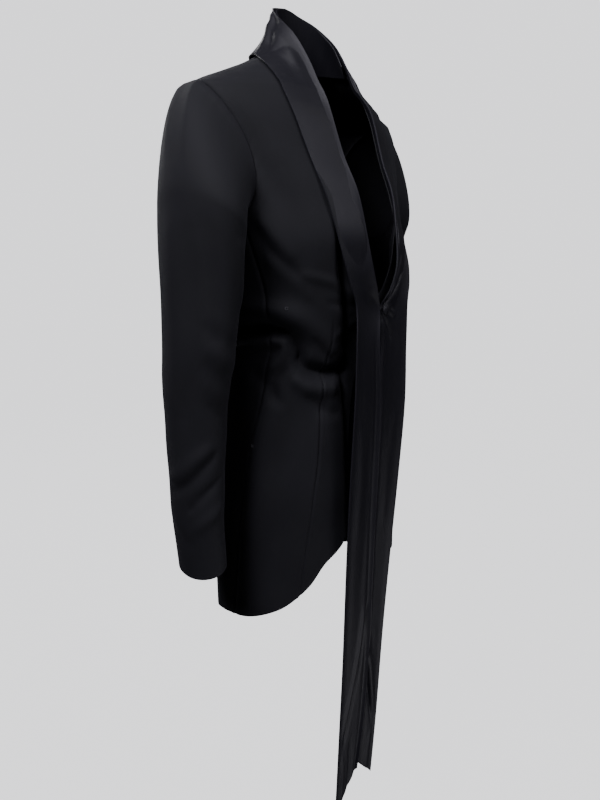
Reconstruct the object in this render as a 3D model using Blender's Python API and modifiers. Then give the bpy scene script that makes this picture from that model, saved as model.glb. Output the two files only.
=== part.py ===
"""Tuxedo blazer with a shawl collar whose two ends hang down as long scarf bands.

Metres, +Z up.  The origin lies at the middle of the neck opening, level with
the two points where neck and shoulder seam meet.  The front faces -Y and the
side named right is at -X, as the person who wears it would say.

The body cloth follows one surface, given by an angle round the body (0 in
front, 90 at the side, 180 behind) and a height.  Every panel is a grid on that
surface between its own seams, thickened outwards into a thin wall.
"""
import math

import bmesh
import bpy
import numpy as np

COLLECTION_NAME = "tuxedo_blazer"
RIGHT = -1
LEFT = 1

# Cloth
WOOL_WALL = 0.0018
SATIN_WALL = 0.0022
SEAM_GAP = 0.0006
SHOULDER_HALF_GAP = 0.0004
SLEEVE_START_GAP = 0.0007
WOOL_COLOUR = (0.016, 0.016, 0.021)
WOOL_ROUGHNESS = 0.82
SATIN_COLOUR = (0.020, 0.020, 0.026)
SATIN_ROUGHNESS = 0.38
BUTTON_COLOUR = (0.012, 0.012, 0.015)
BUTTON_ROUGHNESS = 0.45

# Heights of the garment
BACK_NECK_HEIGHT = 0.014
CLOSURE_HEIGHT = -0.318

# Body surface: height, half width, depth in front, depth behind, squareness
# (2 is an ellipse, more is squarer) and the shift of its middle towards the back.
BODY_SECTIONS = (
    # height, half_width, front, back, squareness, shift
    (0.085, 0.0400, 0.034, 0.045, 2.0, -0.002),
    (0.060, 0.0440, 0.038, 0.049, 2.0, -0.001),
    (0.035, 0.0500, 0.043, 0.053, 2.0, 0.001),
    (0.015, 0.0600, 0.050, 0.057, 2.0, 0.003),
    (0.002, 0.0760, 0.054, 0.062, 2.0, 0.005),
    (-0.012, 0.1020, 0.057, 0.070, 2.0, 0.006),
    (-0.028, 0.1400, 0.062, 0.079, 2.1, 0.006),
    (-0.042, 0.1740, 0.069, 0.088, 2.2, 0.006),
    (-0.052, 0.1900, 0.075, 0.093, 2.3, 0.006),
    (-0.075, 0.1890, 0.086, 0.102, 2.4, 0.005),
    (-0.120, 0.1800, 0.102, 0.112, 2.4, 0.003),
    (-0.175, 0.1700, 0.126, 0.115, 2.3, 0.002),
    (-0.235, 0.1640, 0.141, 0.110, 2.2, 0.000),
    (-0.300, 0.1530, 0.136, 0.098, 2.1, 0.000),
    (-0.365, 0.1420, 0.122, 0.090, 2.1, 0.002),
    (-0.430, 0.1440, 0.119, 0.096, 2.1, 0.003),
    (-0.520, 0.1500, 0.122, 0.107, 2.1, 0.003),
    (-0.640, 0.1530, 0.125, 0.112, 2.1, 0.003),
    (-0.830, 0.1560, 0.128, 0.115, 2.1, 0.003),
    (-1.200, 0.1560, 0.128, 0.115, 2.1, 0.003),
)

# Hem height by the angle round the body, cut away in front
HEM = (
    # angle, height
    (14.0, -0.634),
    (17.5, -0.652),
    (21.5, -0.662),
    (28.0, -0.676),
    (38.0, -0.710),
    (56.0, -0.745),
    (76.0, -0.763),
    (97.0, -0.774),
    (130.0, -0.788),
    (180.0, -0.796),
)

# Front edge from the hem up to the closure and on under the roll of the collar
FRONT_EDGE = (
    # height, distance_from_centre
    (-0.634, 0.0405),
    (-0.520, 0.0330),
    (-0.430, 0.0240),
    (-0.365, 0.0120),
    (-0.318, -0.0020),
    (-0.290, 0.0150),
    (-0.250, 0.0350),
    (-0.177, 0.0450),
    (-0.127, 0.0500),
    (-0.063, 0.0570),
    (-0.037, 0.0590),
    (-0.011, 0.0630),
    (-0.003, 0.0690),
    (0.004, 0.0810),
)
# Where both fronts meet the left one passes behind the right one
LAP_SINK = 0.0036
LAP_ANGLE = 14.0
LAP_HEIGHT = 0.055

# Seam between front and side panel, and between side panel and back
FRONT_SIDE_SEAM = (
    # height, angle
    (-0.800, 90.0),
    (-0.640, 82.5),
    (-0.510, 74.0),
    (-0.434, 66.5),
    (-0.394, 64.0),
    (-0.365, 61.5),
    (-0.300, 62.5),
    (-0.200, 70.0),
)
BACK_SIDE_SEAM = (
    # height, angle
    (-0.800, 128.0),
    (-0.500, 126.0),
    (-0.365, 122.0),
    (-0.280, 119.0),
    (-0.180, 116.0),
)

# Armhole: an oval on the body surface about the side
ARMHOLE_MIDDLE_HEIGHT = -0.131
ARMHOLE_HALF_HEIGHT = 0.084
ARMHOLE_FRONT_SPREAD = 31.0
ARMHOLE_BACK_SPREAD = 30.0
FRONT_SEAM_ARMHOLE_TURN = 147.0
BACK_SEAM_ARMHOLE_TURN = 222.0

# Mean radii that turn the folds' angles into distances
BODY_FOLD_RADIUS = 0.13
SLEEVE_FOLD_RADIUS = 0.045

# Large folds of the body cloth: a ridge has a positive rise, a trough a negative one.
# Each runs straight on the body from one angle and height to another.
BODY_FOLDS = (
    # from_angle, from_height, to_angle, to_height, half_breadth, rise
    (84.0, -0.356, 62.0, -0.346, 0.012, -0.0100),
    (62.0, -0.346, 52.0, -0.366, 0.012, -0.0090),
    (52.0, -0.366, 34.0, -0.380, 0.012, -0.0080),
    (84.0, -0.380, 60.0, -0.372, 0.012, 0.0060),
    (60.0, -0.372, 40.0, -0.405, 0.014, 0.0060),
    (76.0, -0.315, 30.0, -0.335, 0.020, 0.0080),
    (118.0, -0.345, 160.0, -0.362, 0.014, -0.0060),
    (116.0, -0.375, 150.0, -0.392, 0.016, 0.0050),
)

# Sleeves: level rings down the arm, from the height where the tube begins.  The left
# arm hangs further back.
RIGHT_SLEEVE_SECTIONS = (
    # height, middle_x, middle_y, half_across, half_depth, rise_of_outer_side
    (-0.205, 0.2090, -0.0265, 0.0360, 0.0695, 0.0280),
    (-0.255, 0.2090, -0.0225, 0.0360, 0.0680, 0.0160),
    (-0.310, 0.2105, -0.0190, 0.0350, 0.0615, 0.0080),
    (-0.365, 0.2125, -0.0144, 0.0340, 0.0580, 0.0030),
    (-0.430, 0.2150, -0.0076, 0.0320, 0.0505, 0.0000),
    (-0.500, 0.2180, -0.0064, 0.0300, 0.0475, 0.0000),
    (-0.570, 0.2200, -0.0086, 0.0280, 0.0440, -0.0010),
    (-0.655, 0.2220, -0.0170, 0.0250, 0.0400, -0.0020),
)
LEFT_SLEEVE_SECTIONS = (
    # height, middle_x, middle_y, half_across, half_depth, rise_of_outer_side
    (-0.205, 0.2081, 0.0187, 0.0360, 0.0630, 0.0280),
    (-0.255, 0.2072, 0.0384, 0.0360, 0.0610, 0.0160),
    (-0.310, 0.2078, 0.0549, 0.0350, 0.0570, 0.0080),
    (-0.365, 0.2095, 0.0610, 0.0340, 0.0540, 0.0030),
    (-0.430, 0.2120, 0.0555, 0.0320, 0.0495, 0.0000),
    (-0.500, 0.2150, 0.0485, 0.0300, 0.0465, 0.0000),
    (-0.570, 0.2170, 0.0385, 0.0280, 0.0430, -0.0010),
    (-0.655, 0.2190, 0.0250, 0.0250, 0.0390, -0.0020),
)
# The left shoulder stands back and down a little
LEFT_SHOULDER_BACK = 0.024
LEFT_SHOULDER_DOWN = 0.012
LEFT_SHOULDER_BREADTH = 0.10
LEFT_SHOULDER_TOP_HEIGHT = -0.20
LEFT_SHOULDER_END_HEIGHT = -0.32
SLEEVE_SEAM_HALF_TURN = 0.25
SLEEVE_HEAD_REACH = 0.65
SLEEVE_LEAST_REACH = 0.035
SLEEVE_HEAD_DROP = 0.70
# The sleeve's cloth leaves the armhole outwards and a little down, and its first level
# ring is followed down over a short step
SLEEVE_LEAVE_OUT = 0.97
SLEEVE_LEAVE_DOWN = 0.24
SLEEVE_ENTRY_STEP = 0.01

# Folds of the sleeve, by the turn round it (0 outside, 90 in front)
SLEEVE_FOLDS = (
    # from_turn, from_height, to_turn, to_height, half_breadth, rise
    (-20.0, -0.560, 55.0, -0.520, 0.013, -0.0035),
    (20.0, -0.585, 80.0, -0.550, 0.012, -0.0030),
    (-10.0, -0.535, 60.0, -0.490, 0.014, 0.0025),
    (60.0, -0.345, 120.0, -0.370, 0.015, -0.0045),
    (50.0, -0.385, 125.0, -0.405, 0.016, -0.0035),
)

# Shawl collar and scarf bands.  Each row gives the roll edge and the free edge of
# the band and how far its middle bulges; sideways is counted away from the centre.
COLLAR_SECTIONS = (
    # roll_side, roll_y, roll_z, free_side, free_y, free_z, bow
    (0.0000, 0.0420, 0.0780, 0.0000, 0.0790, 0.0130, 0.0030),
    (0.0240, 0.0355, 0.0720, 0.0430, 0.0680, 0.0110, 0.0030),
    (0.0420, 0.0190, 0.0620, 0.0730, 0.0430, 0.0070, 0.0035),
    (0.0500, 0.0030, 0.0485, 0.0900, 0.0120, 0.0030, 0.0040),
)
RIGHT_BAND = (
    # roll_side, roll_y, roll_z, free_side, free_y, free_z, bow
    (0.0530, -0.0150, 0.0340, 0.1000, -0.0110, -0.0090, 0.0050),
    (0.0525, -0.0320, 0.0170, 0.1050, -0.0300, -0.0260, 0.0060),
    (0.0500, -0.0510, -0.0110, 0.1065, -0.0460, -0.0460, 0.0070),
    (0.0500, -0.0665, -0.0370, 0.1060, -0.0590, -0.0650, 0.0070),
    (0.0490, -0.0830, -0.0640, 0.1010, -0.0750, -0.0930, 0.0065),
    (0.0450, -0.1060, -0.1270, 0.0950, -0.0960, -0.1350, 0.0060),
    (0.0420, -0.1300, -0.1770, 0.0900, -0.1180, -0.1760, 0.0050),
    (0.0330, -0.1440, -0.2500, 0.0790, -0.1370, -0.2480, 0.0045),
    (0.0180, -0.1430, -0.2900, 0.0690, -0.1420, -0.2850, 0.0045),
    (0.0060, -0.1380, -0.3180, 0.0590, -0.1430, -0.3120, 0.0045),
    (0.0110, -0.1440, -0.3650, 0.0610, -0.1470, -0.3600, 0.0045),
    (0.0060, -0.1450, -0.4500, 0.0600, -0.1450, -0.4500, 0.0040),
    (0.0050, -0.1430, -0.5600, 0.0630, -0.1430, -0.5600, 0.0040),
    (0.0070, -0.1410, -0.6900, 0.0660, -0.1410, -0.6900, 0.0040),
    (0.0080, -0.1390, -0.8300, 0.0680, -0.1380, -0.8300, 0.0040),
    (0.0130, -0.1370, -0.9500, 0.0690, -0.1340, -0.9600, 0.0035),
    (0.0240, -0.1350, -1.0500, 0.0690, -0.1300, -1.1150, 0.0030),
)
LEFT_BAND = (
    # roll_side, roll_y, roll_z, free_side, free_y, free_z, bow
    (0.0530, -0.0150, 0.0300, 0.0990, -0.0110, -0.0090, 0.0050),
    (0.0530, -0.0330, 0.0040, 0.1030, -0.0300, -0.0260, 0.0060),
    (0.0510, -0.0500, -0.0260, 0.1050, -0.0460, -0.0460, 0.0070),
    (0.0500, -0.0680, -0.0450, 0.1050, -0.0590, -0.0650, 0.0070),
    (0.0490, -0.0840, -0.0680, 0.1010, -0.0750, -0.0930, 0.0065),
    (0.0430, -0.1060, -0.1270, 0.0930, -0.0960, -0.1350, 0.0060),
    (0.0360, -0.1290, -0.1770, 0.0850, -0.1180, -0.1760, 0.0050),
    (0.0260, -0.1420, -0.2500, 0.0710, -0.1360, -0.2480, 0.0045),
    (0.0140, -0.1400, -0.2900, 0.0620, -0.1400, -0.2850, 0.0045),
    (0.0010, -0.1330, -0.3180, 0.0540, -0.1410, -0.3140, 0.0045),
    (0.0030, -0.1330, -0.3650, 0.0550, -0.1410, -0.3630, 0.0045),
    (0.0010, -0.1330, -0.4500, 0.0570, -0.1410, -0.4500, 0.0040),
    (-0.0020, -0.1310, -0.5600, 0.0520, -0.1390, -0.5600, 0.0040),
    (-0.0090, -0.1290, -0.6900, 0.0430, -0.1370, -0.6900, 0.0040),
    (-0.0170, -0.1270, -0.8300, 0.0340, -0.1340, -0.8300, 0.0035),
    (-0.0240, -0.1240, -0.9500, 0.0280, -0.1300, -0.9700, 0.0030),
    (-0.0290, -0.1210, -1.0350, 0.0220, -0.1260, -1.0950, 0.0030),
)
# Least distance from the body surface to the band that lies on it
BAND_CLEARANCE = 0.0014
ROLL_PART = 0.10
ROLL_DEPTH = 0.0045
ROLL_BREADTH = 0.06
BAND_RULER = (0.0, 0.05, 0.16, 0.36, 0.60, 0.82, 1.0)

# Where the rows of the fronts and backs pass from the side seam to the armhole
EDGE_JOIN_HEIGHT = -0.190
EDGE_JOIN_PART = 0.750
# Part of the back's top edge that lies along the shoulder seam
NECK_PART = 0.58

# Collar stand inside the fold, from the neck edge up to just under the fold
STAND_WALL = 0.0016
STAND_SECTIONS = (
    # turn, low_side, low_y, low_z, high_side, high_y, high_z
    (0.0, 0.0000, 0.0606, 0.0150, 0.0000, 0.0370, 0.0730),
    (1.0, 0.0324, 0.0547, 0.0126, 0.0220, 0.0315, 0.0670),
    (2.0, 0.0597, 0.0344, 0.0096, 0.0385, 0.0170, 0.0570),
    (3.0, 0.0730, 0.0050, 0.0062, 0.0465, 0.0030, 0.0435),
    (4.0, 0.0734, -0.0138, 0.0022, 0.0495, -0.0140, 0.0240),
    (5.0, 0.0672, -0.0300, -0.0036, 0.0500, -0.0280, 0.0040),
)

# Covered closure button with its cloth loop
BUTTON_RADIUS = 0.0085
BUTTON_THICKNESS = 0.0060
BUTTON_BEVEL = 0.0020
BUTTON_PLACE = (0.0065, -0.1434, -0.3200)
BUTTON_TURN = 12.0
BUTTON_SEGMENTS = 20

# Mesh density
SEAM_ROWS = 18
ARMHOLE_ROWS = 8
BODY_COLUMNS = 11
SIDE_COLUMNS = 6
BACK_COLUMNS = 8
SLEEVE_HEAD_PARTS = (0.0, 0.05, 0.14, 0.28, 0.45, 0.63, 0.82)
SLEEVE_ROWS = 14
BAND_ROWS = 50
STAND_COLUMNS = 34
STAND_ROWS = 4
STEP = 1e-4
TURN_STEP = 0.5
PUSH_ROUNDS = 4
# Keeps the last place read along a table inside its last row
JUST_UNDER_ONE = 1 - 1e-9


def smooth_curve(places, values, at):
    """Values read off a smooth curve through a table, level at its own peaks."""
    places = np.asarray(places, float)
    values = np.asarray(values, float)
    at = np.clip(np.asarray(at, float), places[0], places[-1])
    run = np.diff(places)
    slope = np.diff(values) / run
    tangent = np.zeros_like(values)
    tangent[0] = slope[0]
    tangent[-1] = slope[-1]
    before, after = slope[:-1], slope[1:]
    same_way = before * after > 0
    weight_before = 2 * run[1:] + run[:-1]
    weight_after = run[1:] + 2 * run[:-1]
    safe_before = np.where(same_way, before, 1.0)
    safe_after = np.where(same_way, after, 1.0)
    mean = (weight_before + weight_after) / (weight_before / safe_before + weight_after / safe_after)
    tangent[1:-1] = np.where(same_way, mean, 0.0)
    index = np.clip(np.searchsorted(places, at, side="right") - 1, 0, len(run) - 1)
    part = (at - places[index]) / run[index]
    square, cube = part ** 2, part ** 3
    return (
        values[index] * (2 * cube - 3 * square + 1)
        + tangent[index] * run[index] * (cube - 2 * square + part)
        + values[index + 1] * (3 * square - 2 * cube)
        + tangent[index + 1] * run[index] * (cube - square)
    )


def column(table, number, reverse=False):
    """One column of a table, from its last row up when reversed."""
    rows = table[::-1] if reverse else table
    return [row[number] for row in rows]


def read_table(table, number, at):
    """A column of a table read at any place along its first column."""
    falling = table[0][0] > table[-1][0]
    return smooth_curve(column(table, 0, falling), column(table, number, falling), at)


def eased(part):
    """A smooth step from 0 to 1 as the part goes from 0 to 1."""
    part = np.clip(part, 0.0, 1.0)
    return part * part * (3 - 2 * part)


def posed(point):
    """Points with the left shoulder set back and down."""
    moved = point.copy()
    reach = LEFT_SHOULDER_TOP_HEIGHT - LEFT_SHOULDER_END_HEIGHT
    high = eased((point[..., 2] - LEFT_SHOULDER_END_HEIGHT) / reach)
    moved[..., 1] += LEFT_SHOULDER_BACK * high * eased(point[..., 0] / LEFT_SHOULDER_BREADTH)
    outer = point[..., 0] / LEFT_SHOULDER_BREADTH - 0.5
    moved[..., 2] -= LEFT_SHOULDER_DOWN * high * eased(outer)
    return moved


def fold_rise(folds, angle, height, radius):
    """Rise and fall of the large folds at the given angles and heights."""
    total = np.zeros_like(angle)
    for from_angle, from_height, to_angle, to_height, breadth, rise in folds:
        across = np.radians(angle - from_angle) * radius
        down = height - from_height
        run_across = math.radians(to_angle - from_angle) * radius
        run_down = to_height - from_height
        length = math.hypot(run_across, run_down)
        along = (across * run_across + down * run_down) / length
        off = (down * run_across - across * run_down) / length
        past = np.maximum(np.maximum(-along, along - length), 0.0)
        total += rise * np.exp(-(off / breadth) ** 2) * np.exp(-(past / (1.5 * breadth)) ** 2)
    return total


def body_point(angle, height, side, off=0.0):
    """Points on the body surface, moved off it by the given distance."""
    angle, height, off = np.broadcast_arrays(
        np.asarray(angle, float), np.asarray(height, float), np.asarray(off, float)
    )
    half_width = read_table(BODY_SECTIONS, 1, height)
    front = read_table(BODY_SECTIONS, 2, height)
    back = read_table(BODY_SECTIONS, 3, height)
    power = 2.0 / read_table(BODY_SECTIONS, 4, height)
    shift = read_table(BODY_SECTIONS, 5, height)
    turn = np.radians(angle)
    sine, cosine = np.sin(turn), np.cos(turn)
    depth = np.where(cosine > 0, front, back)
    reach = np.stack(
        [
            half_width * np.sign(sine) * np.abs(sine) ** power,
            -depth * np.sign(cosine) * np.abs(cosine) ** power,
            np.zeros_like(turn),
        ],
        axis=-1,
    )
    outward = reach / np.stack([half_width ** 2, depth ** 2, np.ones_like(depth)], axis=-1)
    outward /= np.linalg.norm(outward, axis=-1, keepdims=True)
    rise = fold_rise(BODY_FOLDS, angle, height, BODY_FOLD_RADIUS) + off
    point = reach + outward * rise[..., None]
    point[..., 1] += shift
    point[..., 2] = height
    point[..., 0] *= side
    return point


def body_normal(angle, height, side):
    """Outward direction of the body surface."""
    angle = np.asarray(angle, float)
    height = np.asarray(height, float)
    by_angle = body_point(angle + TURN_STEP, height, side) - body_point(angle - TURN_STEP, height, side)
    by_height = body_point(angle, height + STEP, side) - body_point(angle, height - STEP, side)
    normal = np.cross(by_angle, by_height) * side
    return normal / np.linalg.norm(normal, axis=-1, keepdims=True)


def turned_aside(angle, height, side, distance):
    """Angles shifted so that the point moves by a distance along its level ring."""
    here = body_point(angle, height, side)
    there = body_point(np.asarray(angle) + 1.0, height, side)
    return angle + distance / np.linalg.norm(there - here, axis=-1)


def through(rows, at):
    """Points on a smooth curve that passes through the rows of a table."""
    rows = np.asarray(rows, float)
    index = np.clip(np.floor(at).astype(int), 0, len(rows) - 2)
    part = (at - index)[:, None]
    before = rows[np.maximum(index - 1, 0)]
    here = rows[index]
    there = rows[index + 1]
    after = rows[np.minimum(index + 2, len(rows) - 1)]
    square, cube = part ** 2, part ** 3
    return 0.5 * (
        2 * here
        + (there - before) * part
        + (2 * before - 5 * here + 4 * there - after) * square
        + (3 * here - before - 3 * there + after) * cube
    )


def front_angle_at(distance, height):
    """Angle at which the front of the body lies a distance from its centre line."""
    half_width = read_table(BODY_SECTIONS, 1, height)
    squareness = read_table(BODY_SECTIONS, 4, height)
    part = np.clip(np.abs(distance) / half_width, 0.0, 1.0)
    return np.sign(distance) * np.degrees(np.arcsin(part ** (squareness / 2)))


def armhole(turn):
    """Angle and height of the armhole at a turn: 0 at the top, 90 in front."""
    turn = np.radians(turn)
    sine = np.sin(turn)
    spread = np.where(sine > 0, ARMHOLE_FRONT_SPREAD, ARMHOLE_BACK_SPREAD)
    angle = 90.0 - spread * sine
    height = ARMHOLE_MIDDLE_HEIGHT + ARMHOLE_HALF_HEIGHT * np.cos(turn)
    return angle, height


def spread_between(low, high, part):
    """Numbers from low to high at the given parts of the way."""
    return low + (high - low) * part


def filled_grid(bottom, top, left, right, top_pull=None):
    """A grid of angle and height between four edges that share their corners."""
    across = np.linspace(0, 1, len(bottom))[None, :, None]
    up = np.linspace(0, 1, len(left))
    pull = (up if top_pull is None else top_pull)[:, None, None]
    between = (1 - across) * left[:, None, :] + across * right[:, None, :]
    bottom_bend = bottom[None, :, :] - (1 - across) * bottom[0] - across * bottom[-1]
    top_bend = top[None, :, :] - (1 - across) * top[0] - across * top[-1]
    return between + bottom_bend * (1 - up)[:, None, None] + top_bend * pull


def paired(angle, height):
    """Angles and heights joined into one array."""
    return np.stack(np.broadcast_arrays(angle, height), axis=-1)


def make_material(name, colour, roughness):
    """A plain material with a colour and a roughness."""
    material = bpy.data.materials.new(name)
    material.use_nodes = True
    shader = material.node_tree.nodes["Principled BSDF"]
    shader.inputs["Base Color"].default_value = (*colour, 1.0)
    shader.inputs["Roughness"].default_value = roughness
    return material


def add_grid(collection, name, points, wall, finish, flip=False):
    """An open grid of points as a mesh, thickened by a Solidify modifier."""
    points = posed(points)
    rows, columns = points.shape[:2]
    last = columns - 1
    faces = []
    for row in range(rows - 1):
        for number in range(last):
            following = number + 1
            face = [
                row * columns + number,
                row * columns + following,
                (row + 1) * columns + following,
                (row + 1) * columns + number,
            ]
            faces.append(face[::-1] if flip else face)
    mesh = bpy.data.meshes.new(name)
    mesh.from_pydata(points.reshape(-1, 3).tolist(), [], faces)
    mesh.update()
    for polygon in mesh.polygons:
        polygon.use_smooth = True
    thing = bpy.data.objects.new(name, mesh)
    collection.objects.link(thing)
    solid = thing.modifiers.new("wall", "SOLIDIFY")
    solid.thickness = wall
    solid.offset = 1.0
    solid.use_even_offset = False
    solid.use_quality_normals = True
    mesh.materials.append(make_material(name, *finish))
    return thing


WOOL = (WOOL_COLOUR, WOOL_ROUGHNESS)
SATIN = (SATIN_COLOUR, SATIN_ROUGHNESS)
BUTTON = (BUTTON_COLOUR, BUTTON_ROUGHNESS)
HALF_GAP = SEAM_GAP / 2


def row_parts():
    """Parts of the way up the side seam and on up the armhole, row by row."""
    lower = np.concatenate([np.linspace(0, 1, SEAM_ROWS), np.ones(ARMHOLE_ROWS)])
    upper = np.concatenate([np.zeros(SEAM_ROWS), np.linspace(0, 1, ARMHOLE_ROWS + 1)[1:]])
    return lower, upper


def seam_line(table, top_turn):
    """Angles and heights up a side seam, hem to armhole."""
    top_angle, top_height = armhole(top_turn)
    low = read_table(HEM, 1, table[0][1])
    height = np.linspace(low, top_height, SEAM_ROWS)
    angle = read_table(table, 1, height)
    angle += (top_angle - angle[-1]) * np.linspace(0, 1, SEAM_ROWS) ** 3
    return angle, height


def outer_line(table, seam_turn, top_turn):
    """Angles and heights up a side seam and then up the armhole to the shoulder."""
    seam_angle, seam_height = seam_line(table, seam_turn)
    turn = np.linspace(seam_turn, top_turn, ARMHOLE_ROWS + 1)[1:]
    arm_angle, arm_height = armhole(turn)
    return np.concatenate([seam_angle, arm_angle]), np.concatenate([seam_height, arm_height])


def front_grid(side):
    """Grid of angles and heights of one front, from side seam to front edge."""
    lower, upper = row_parts()
    outer_angle, outer_height = outer_line(FRONT_SIDE_SEAM, FRONT_SEAM_ARMHOLE_TURN, 0.0)
    outer_angle = turned_aside(outer_angle, outer_height, side, -HALF_GAP)
    outer = paired(outer_angle, outer_height)
    low, high = FRONT_EDGE[0][0], FRONT_EDGE[-1][0]
    edge_height = spread_between(low, EDGE_JOIN_HEIGHT, lower) + (high - EDGE_JOIN_HEIGHT) * upper
    edge_angle = front_angle_at(read_table(FRONT_EDGE, 1, edge_height), edge_height)
    inner = paired(edge_angle, edge_height)
    across = np.linspace(0, 1, BODY_COLUMNS)
    hem_angle = spread_between(outer[0, 0], edge_angle[0], across)
    bottom = paired(hem_angle, read_table(HEM, 1, hem_angle))
    ridge_height = spread_between(outer_height[-1], high, across)
    top = paired(turned_aside(90.0, ridge_height, side, -SHOULDER_HALF_GAP), ridge_height)
    outer[0], inner[0] = bottom[0], bottom[-1]
    outer[-1], inner[-1] = top[0], top[-1]
    return filled_grid(bottom, top, outer, inner)


def side_grid(side):
    """Grid of one side panel, between the two side seams, hem to underarm."""
    edges = []
    for table, turn, gap in (
        (FRONT_SIDE_SEAM, FRONT_SEAM_ARMHOLE_TURN, HALF_GAP),
        (BACK_SIDE_SEAM, BACK_SEAM_ARMHOLE_TURN, -HALF_GAP),
    ):
        angle, height = seam_line(table, turn)
        edges.append(paired(turned_aside(angle, height, side, gap), height))
    ahead, behind = edges
    across = np.linspace(0, 1, SIDE_COLUMNS)
    hem_angle = spread_between(ahead[0, 0], behind[0, 0], across)
    bottom = paired(hem_angle, read_table(HEM, 1, hem_angle))
    ahead[0], behind[0] = bottom[0], bottom[-1]
    turn = spread_between(FRONT_SEAM_ARMHOLE_TURN, BACK_SEAM_ARMHOLE_TURN, across)
    top = paired(*armhole(turn))
    top[0], top[-1] = ahead[-1], behind[-1]
    return filled_grid(bottom, top, ahead, behind)


def back_grid(side):
    """Grid of one back half, from side seam and armhole to the centre seam."""
    lower, upper = row_parts()
    outer_angle, outer_height = outer_line(BACK_SIDE_SEAM, BACK_SEAM_ARMHOLE_TURN, 360.0)
    outer_angle = turned_aside(outer_angle, outer_height, side, HALF_GAP)
    outer = paired(outer_angle, outer_height)
    part = EDGE_JOIN_PART * lower + (1 - EDGE_JOIN_PART) * upper
    centre_height = spread_between(HEM[-1][1], BACK_NECK_HEIGHT, part)
    centre_angle = turned_aside(180.0, centre_height, side, -HALF_GAP)
    inner = paired(centre_angle, centre_height)
    across = np.linspace(0, 1, BACK_COLUMNS)
    hem_angle = spread_between(outer_angle[0], centre_angle[0], across)
    bottom = paired(hem_angle, read_table(HEM, 1, hem_angle))
    outer[0], inner[0] = bottom[0], bottom[-1]
    side_neck = FRONT_EDGE[-1][0]
    ridge = np.clip(across / NECK_PART, 0, 1)
    round_neck = np.clip((across - NECK_PART) / (1 - NECK_PART), 0, 1)
    ridge_height = spread_between(outer_height[-1], side_neck, ridge)
    ridge_angle = turned_aside(90.0, ridge_height, side, SHOULDER_HALF_GAP)
    on_neck = round_neck > 0
    top_angle = np.where(on_neck, spread_between(90.0, centre_angle[-1], round_neck), ridge_angle)
    neck_height = spread_between(side_neck, BACK_NECK_HEIGHT, round_neck)
    top = paired(top_angle, np.where(on_neck, neck_height, ridge_height))
    outer[-1], inner[-1] = top[0], top[-1]
    return filled_grid(bottom, top, outer, inner, upper ** 2)


def sleeve_sections(side):
    """The level rings of one sleeve."""
    return LEFT_SLEEVE_SECTIONS if side == LEFT else RIGHT_SLEEVE_SECTIONS


def sleeve_ring(turn, height, side):
    """Points of the sleeve tube, with its folds."""
    turn, height = np.broadcast_arrays(np.asarray(turn, float), np.asarray(height, float))
    sections = sleeve_sections(side)
    middle_x = read_table(sections, 1, height)
    middle_y = read_table(sections, 2, height)
    across = read_table(sections, 3, height)
    depth = read_table(sections, 4, height)
    tilt = read_table(sections, 5, height)
    nearest = (turn + 180.0) % 360.0 - 180.0
    rise = fold_rise(SLEEVE_FOLDS, nearest, height, SLEEVE_FOLD_RADIUS)
    cosine, sine = np.cos(np.radians(turn)), np.sin(np.radians(turn))
    x = middle_x + (across + rise) * cosine
    y = middle_y - (depth + rise) * sine
    return np.stack([x * side, y, height + tilt * cosine], axis=-1)


def sleeve_start(turn, side, wall):
    """First ring of the sleeve, set inside the armhole, and the way it leaves."""
    angle, height = armhole(turn)
    ahead_angle, ahead_height = armhole(turn + 1.0)
    edge = body_point(angle, height, side)
    along = body_point(ahead_angle, ahead_height, side) - edge
    along /= np.linalg.norm(along, axis=-1, keepdims=True)
    normal = body_normal(angle, height, side)
    into_hole = np.cross(normal, along)
    middle = body_point(90.0, ARMHOLE_MIDDLE_HEIGHT, side)
    into_hole *= np.sign(np.sum(into_hole * (middle - edge), axis=-1, keepdims=True))
    leave = np.zeros_like(edge)
    leave[..., 0] = side * SLEEVE_LEAVE_OUT
    leave[..., 2] = -SLEEVE_LEAVE_DOWN
    from_axis = np.cross(leave, along)
    from_axis /= np.linalg.norm(from_axis, axis=-1, keepdims=True)
    from_axis *= np.sign(np.sum(from_axis * (edge - middle), axis=-1, keepdims=True))
    square = np.maximum(-np.sum(from_axis * into_hole, axis=-1, keepdims=True), 0.0)
    return edge + into_hole * (SLEEVE_START_GAP + wall * square), leave


def armhole_turns():
    """Turns of the two sleeve pieces' columns, set at the rows of the body panels."""
    ahead = np.linspace(0.0, FRONT_SEAM_ARMHOLE_TURN, ARMHOLE_ROWS + 1)
    below = np.linspace(FRONT_SEAM_ARMHOLE_TURN, BACK_SEAM_ARMHOLE_TURN, SIDE_COLUMNS)
    behind = np.linspace(BACK_SEAM_ARMHOLE_TURN, 360.0, ARMHOLE_ROWS + 1)
    top = np.concatenate([behind[1:-1] - 360.0, ahead[:-1]])
    under = np.concatenate([ahead[-2:-1], below, behind[1:2]])
    for turns in (top, under):
        turns[0] += SLEEVE_SEAM_HALF_TURN
        turns[-1] -= SLEEVE_SEAM_HALF_TURN
    return top, under


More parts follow.
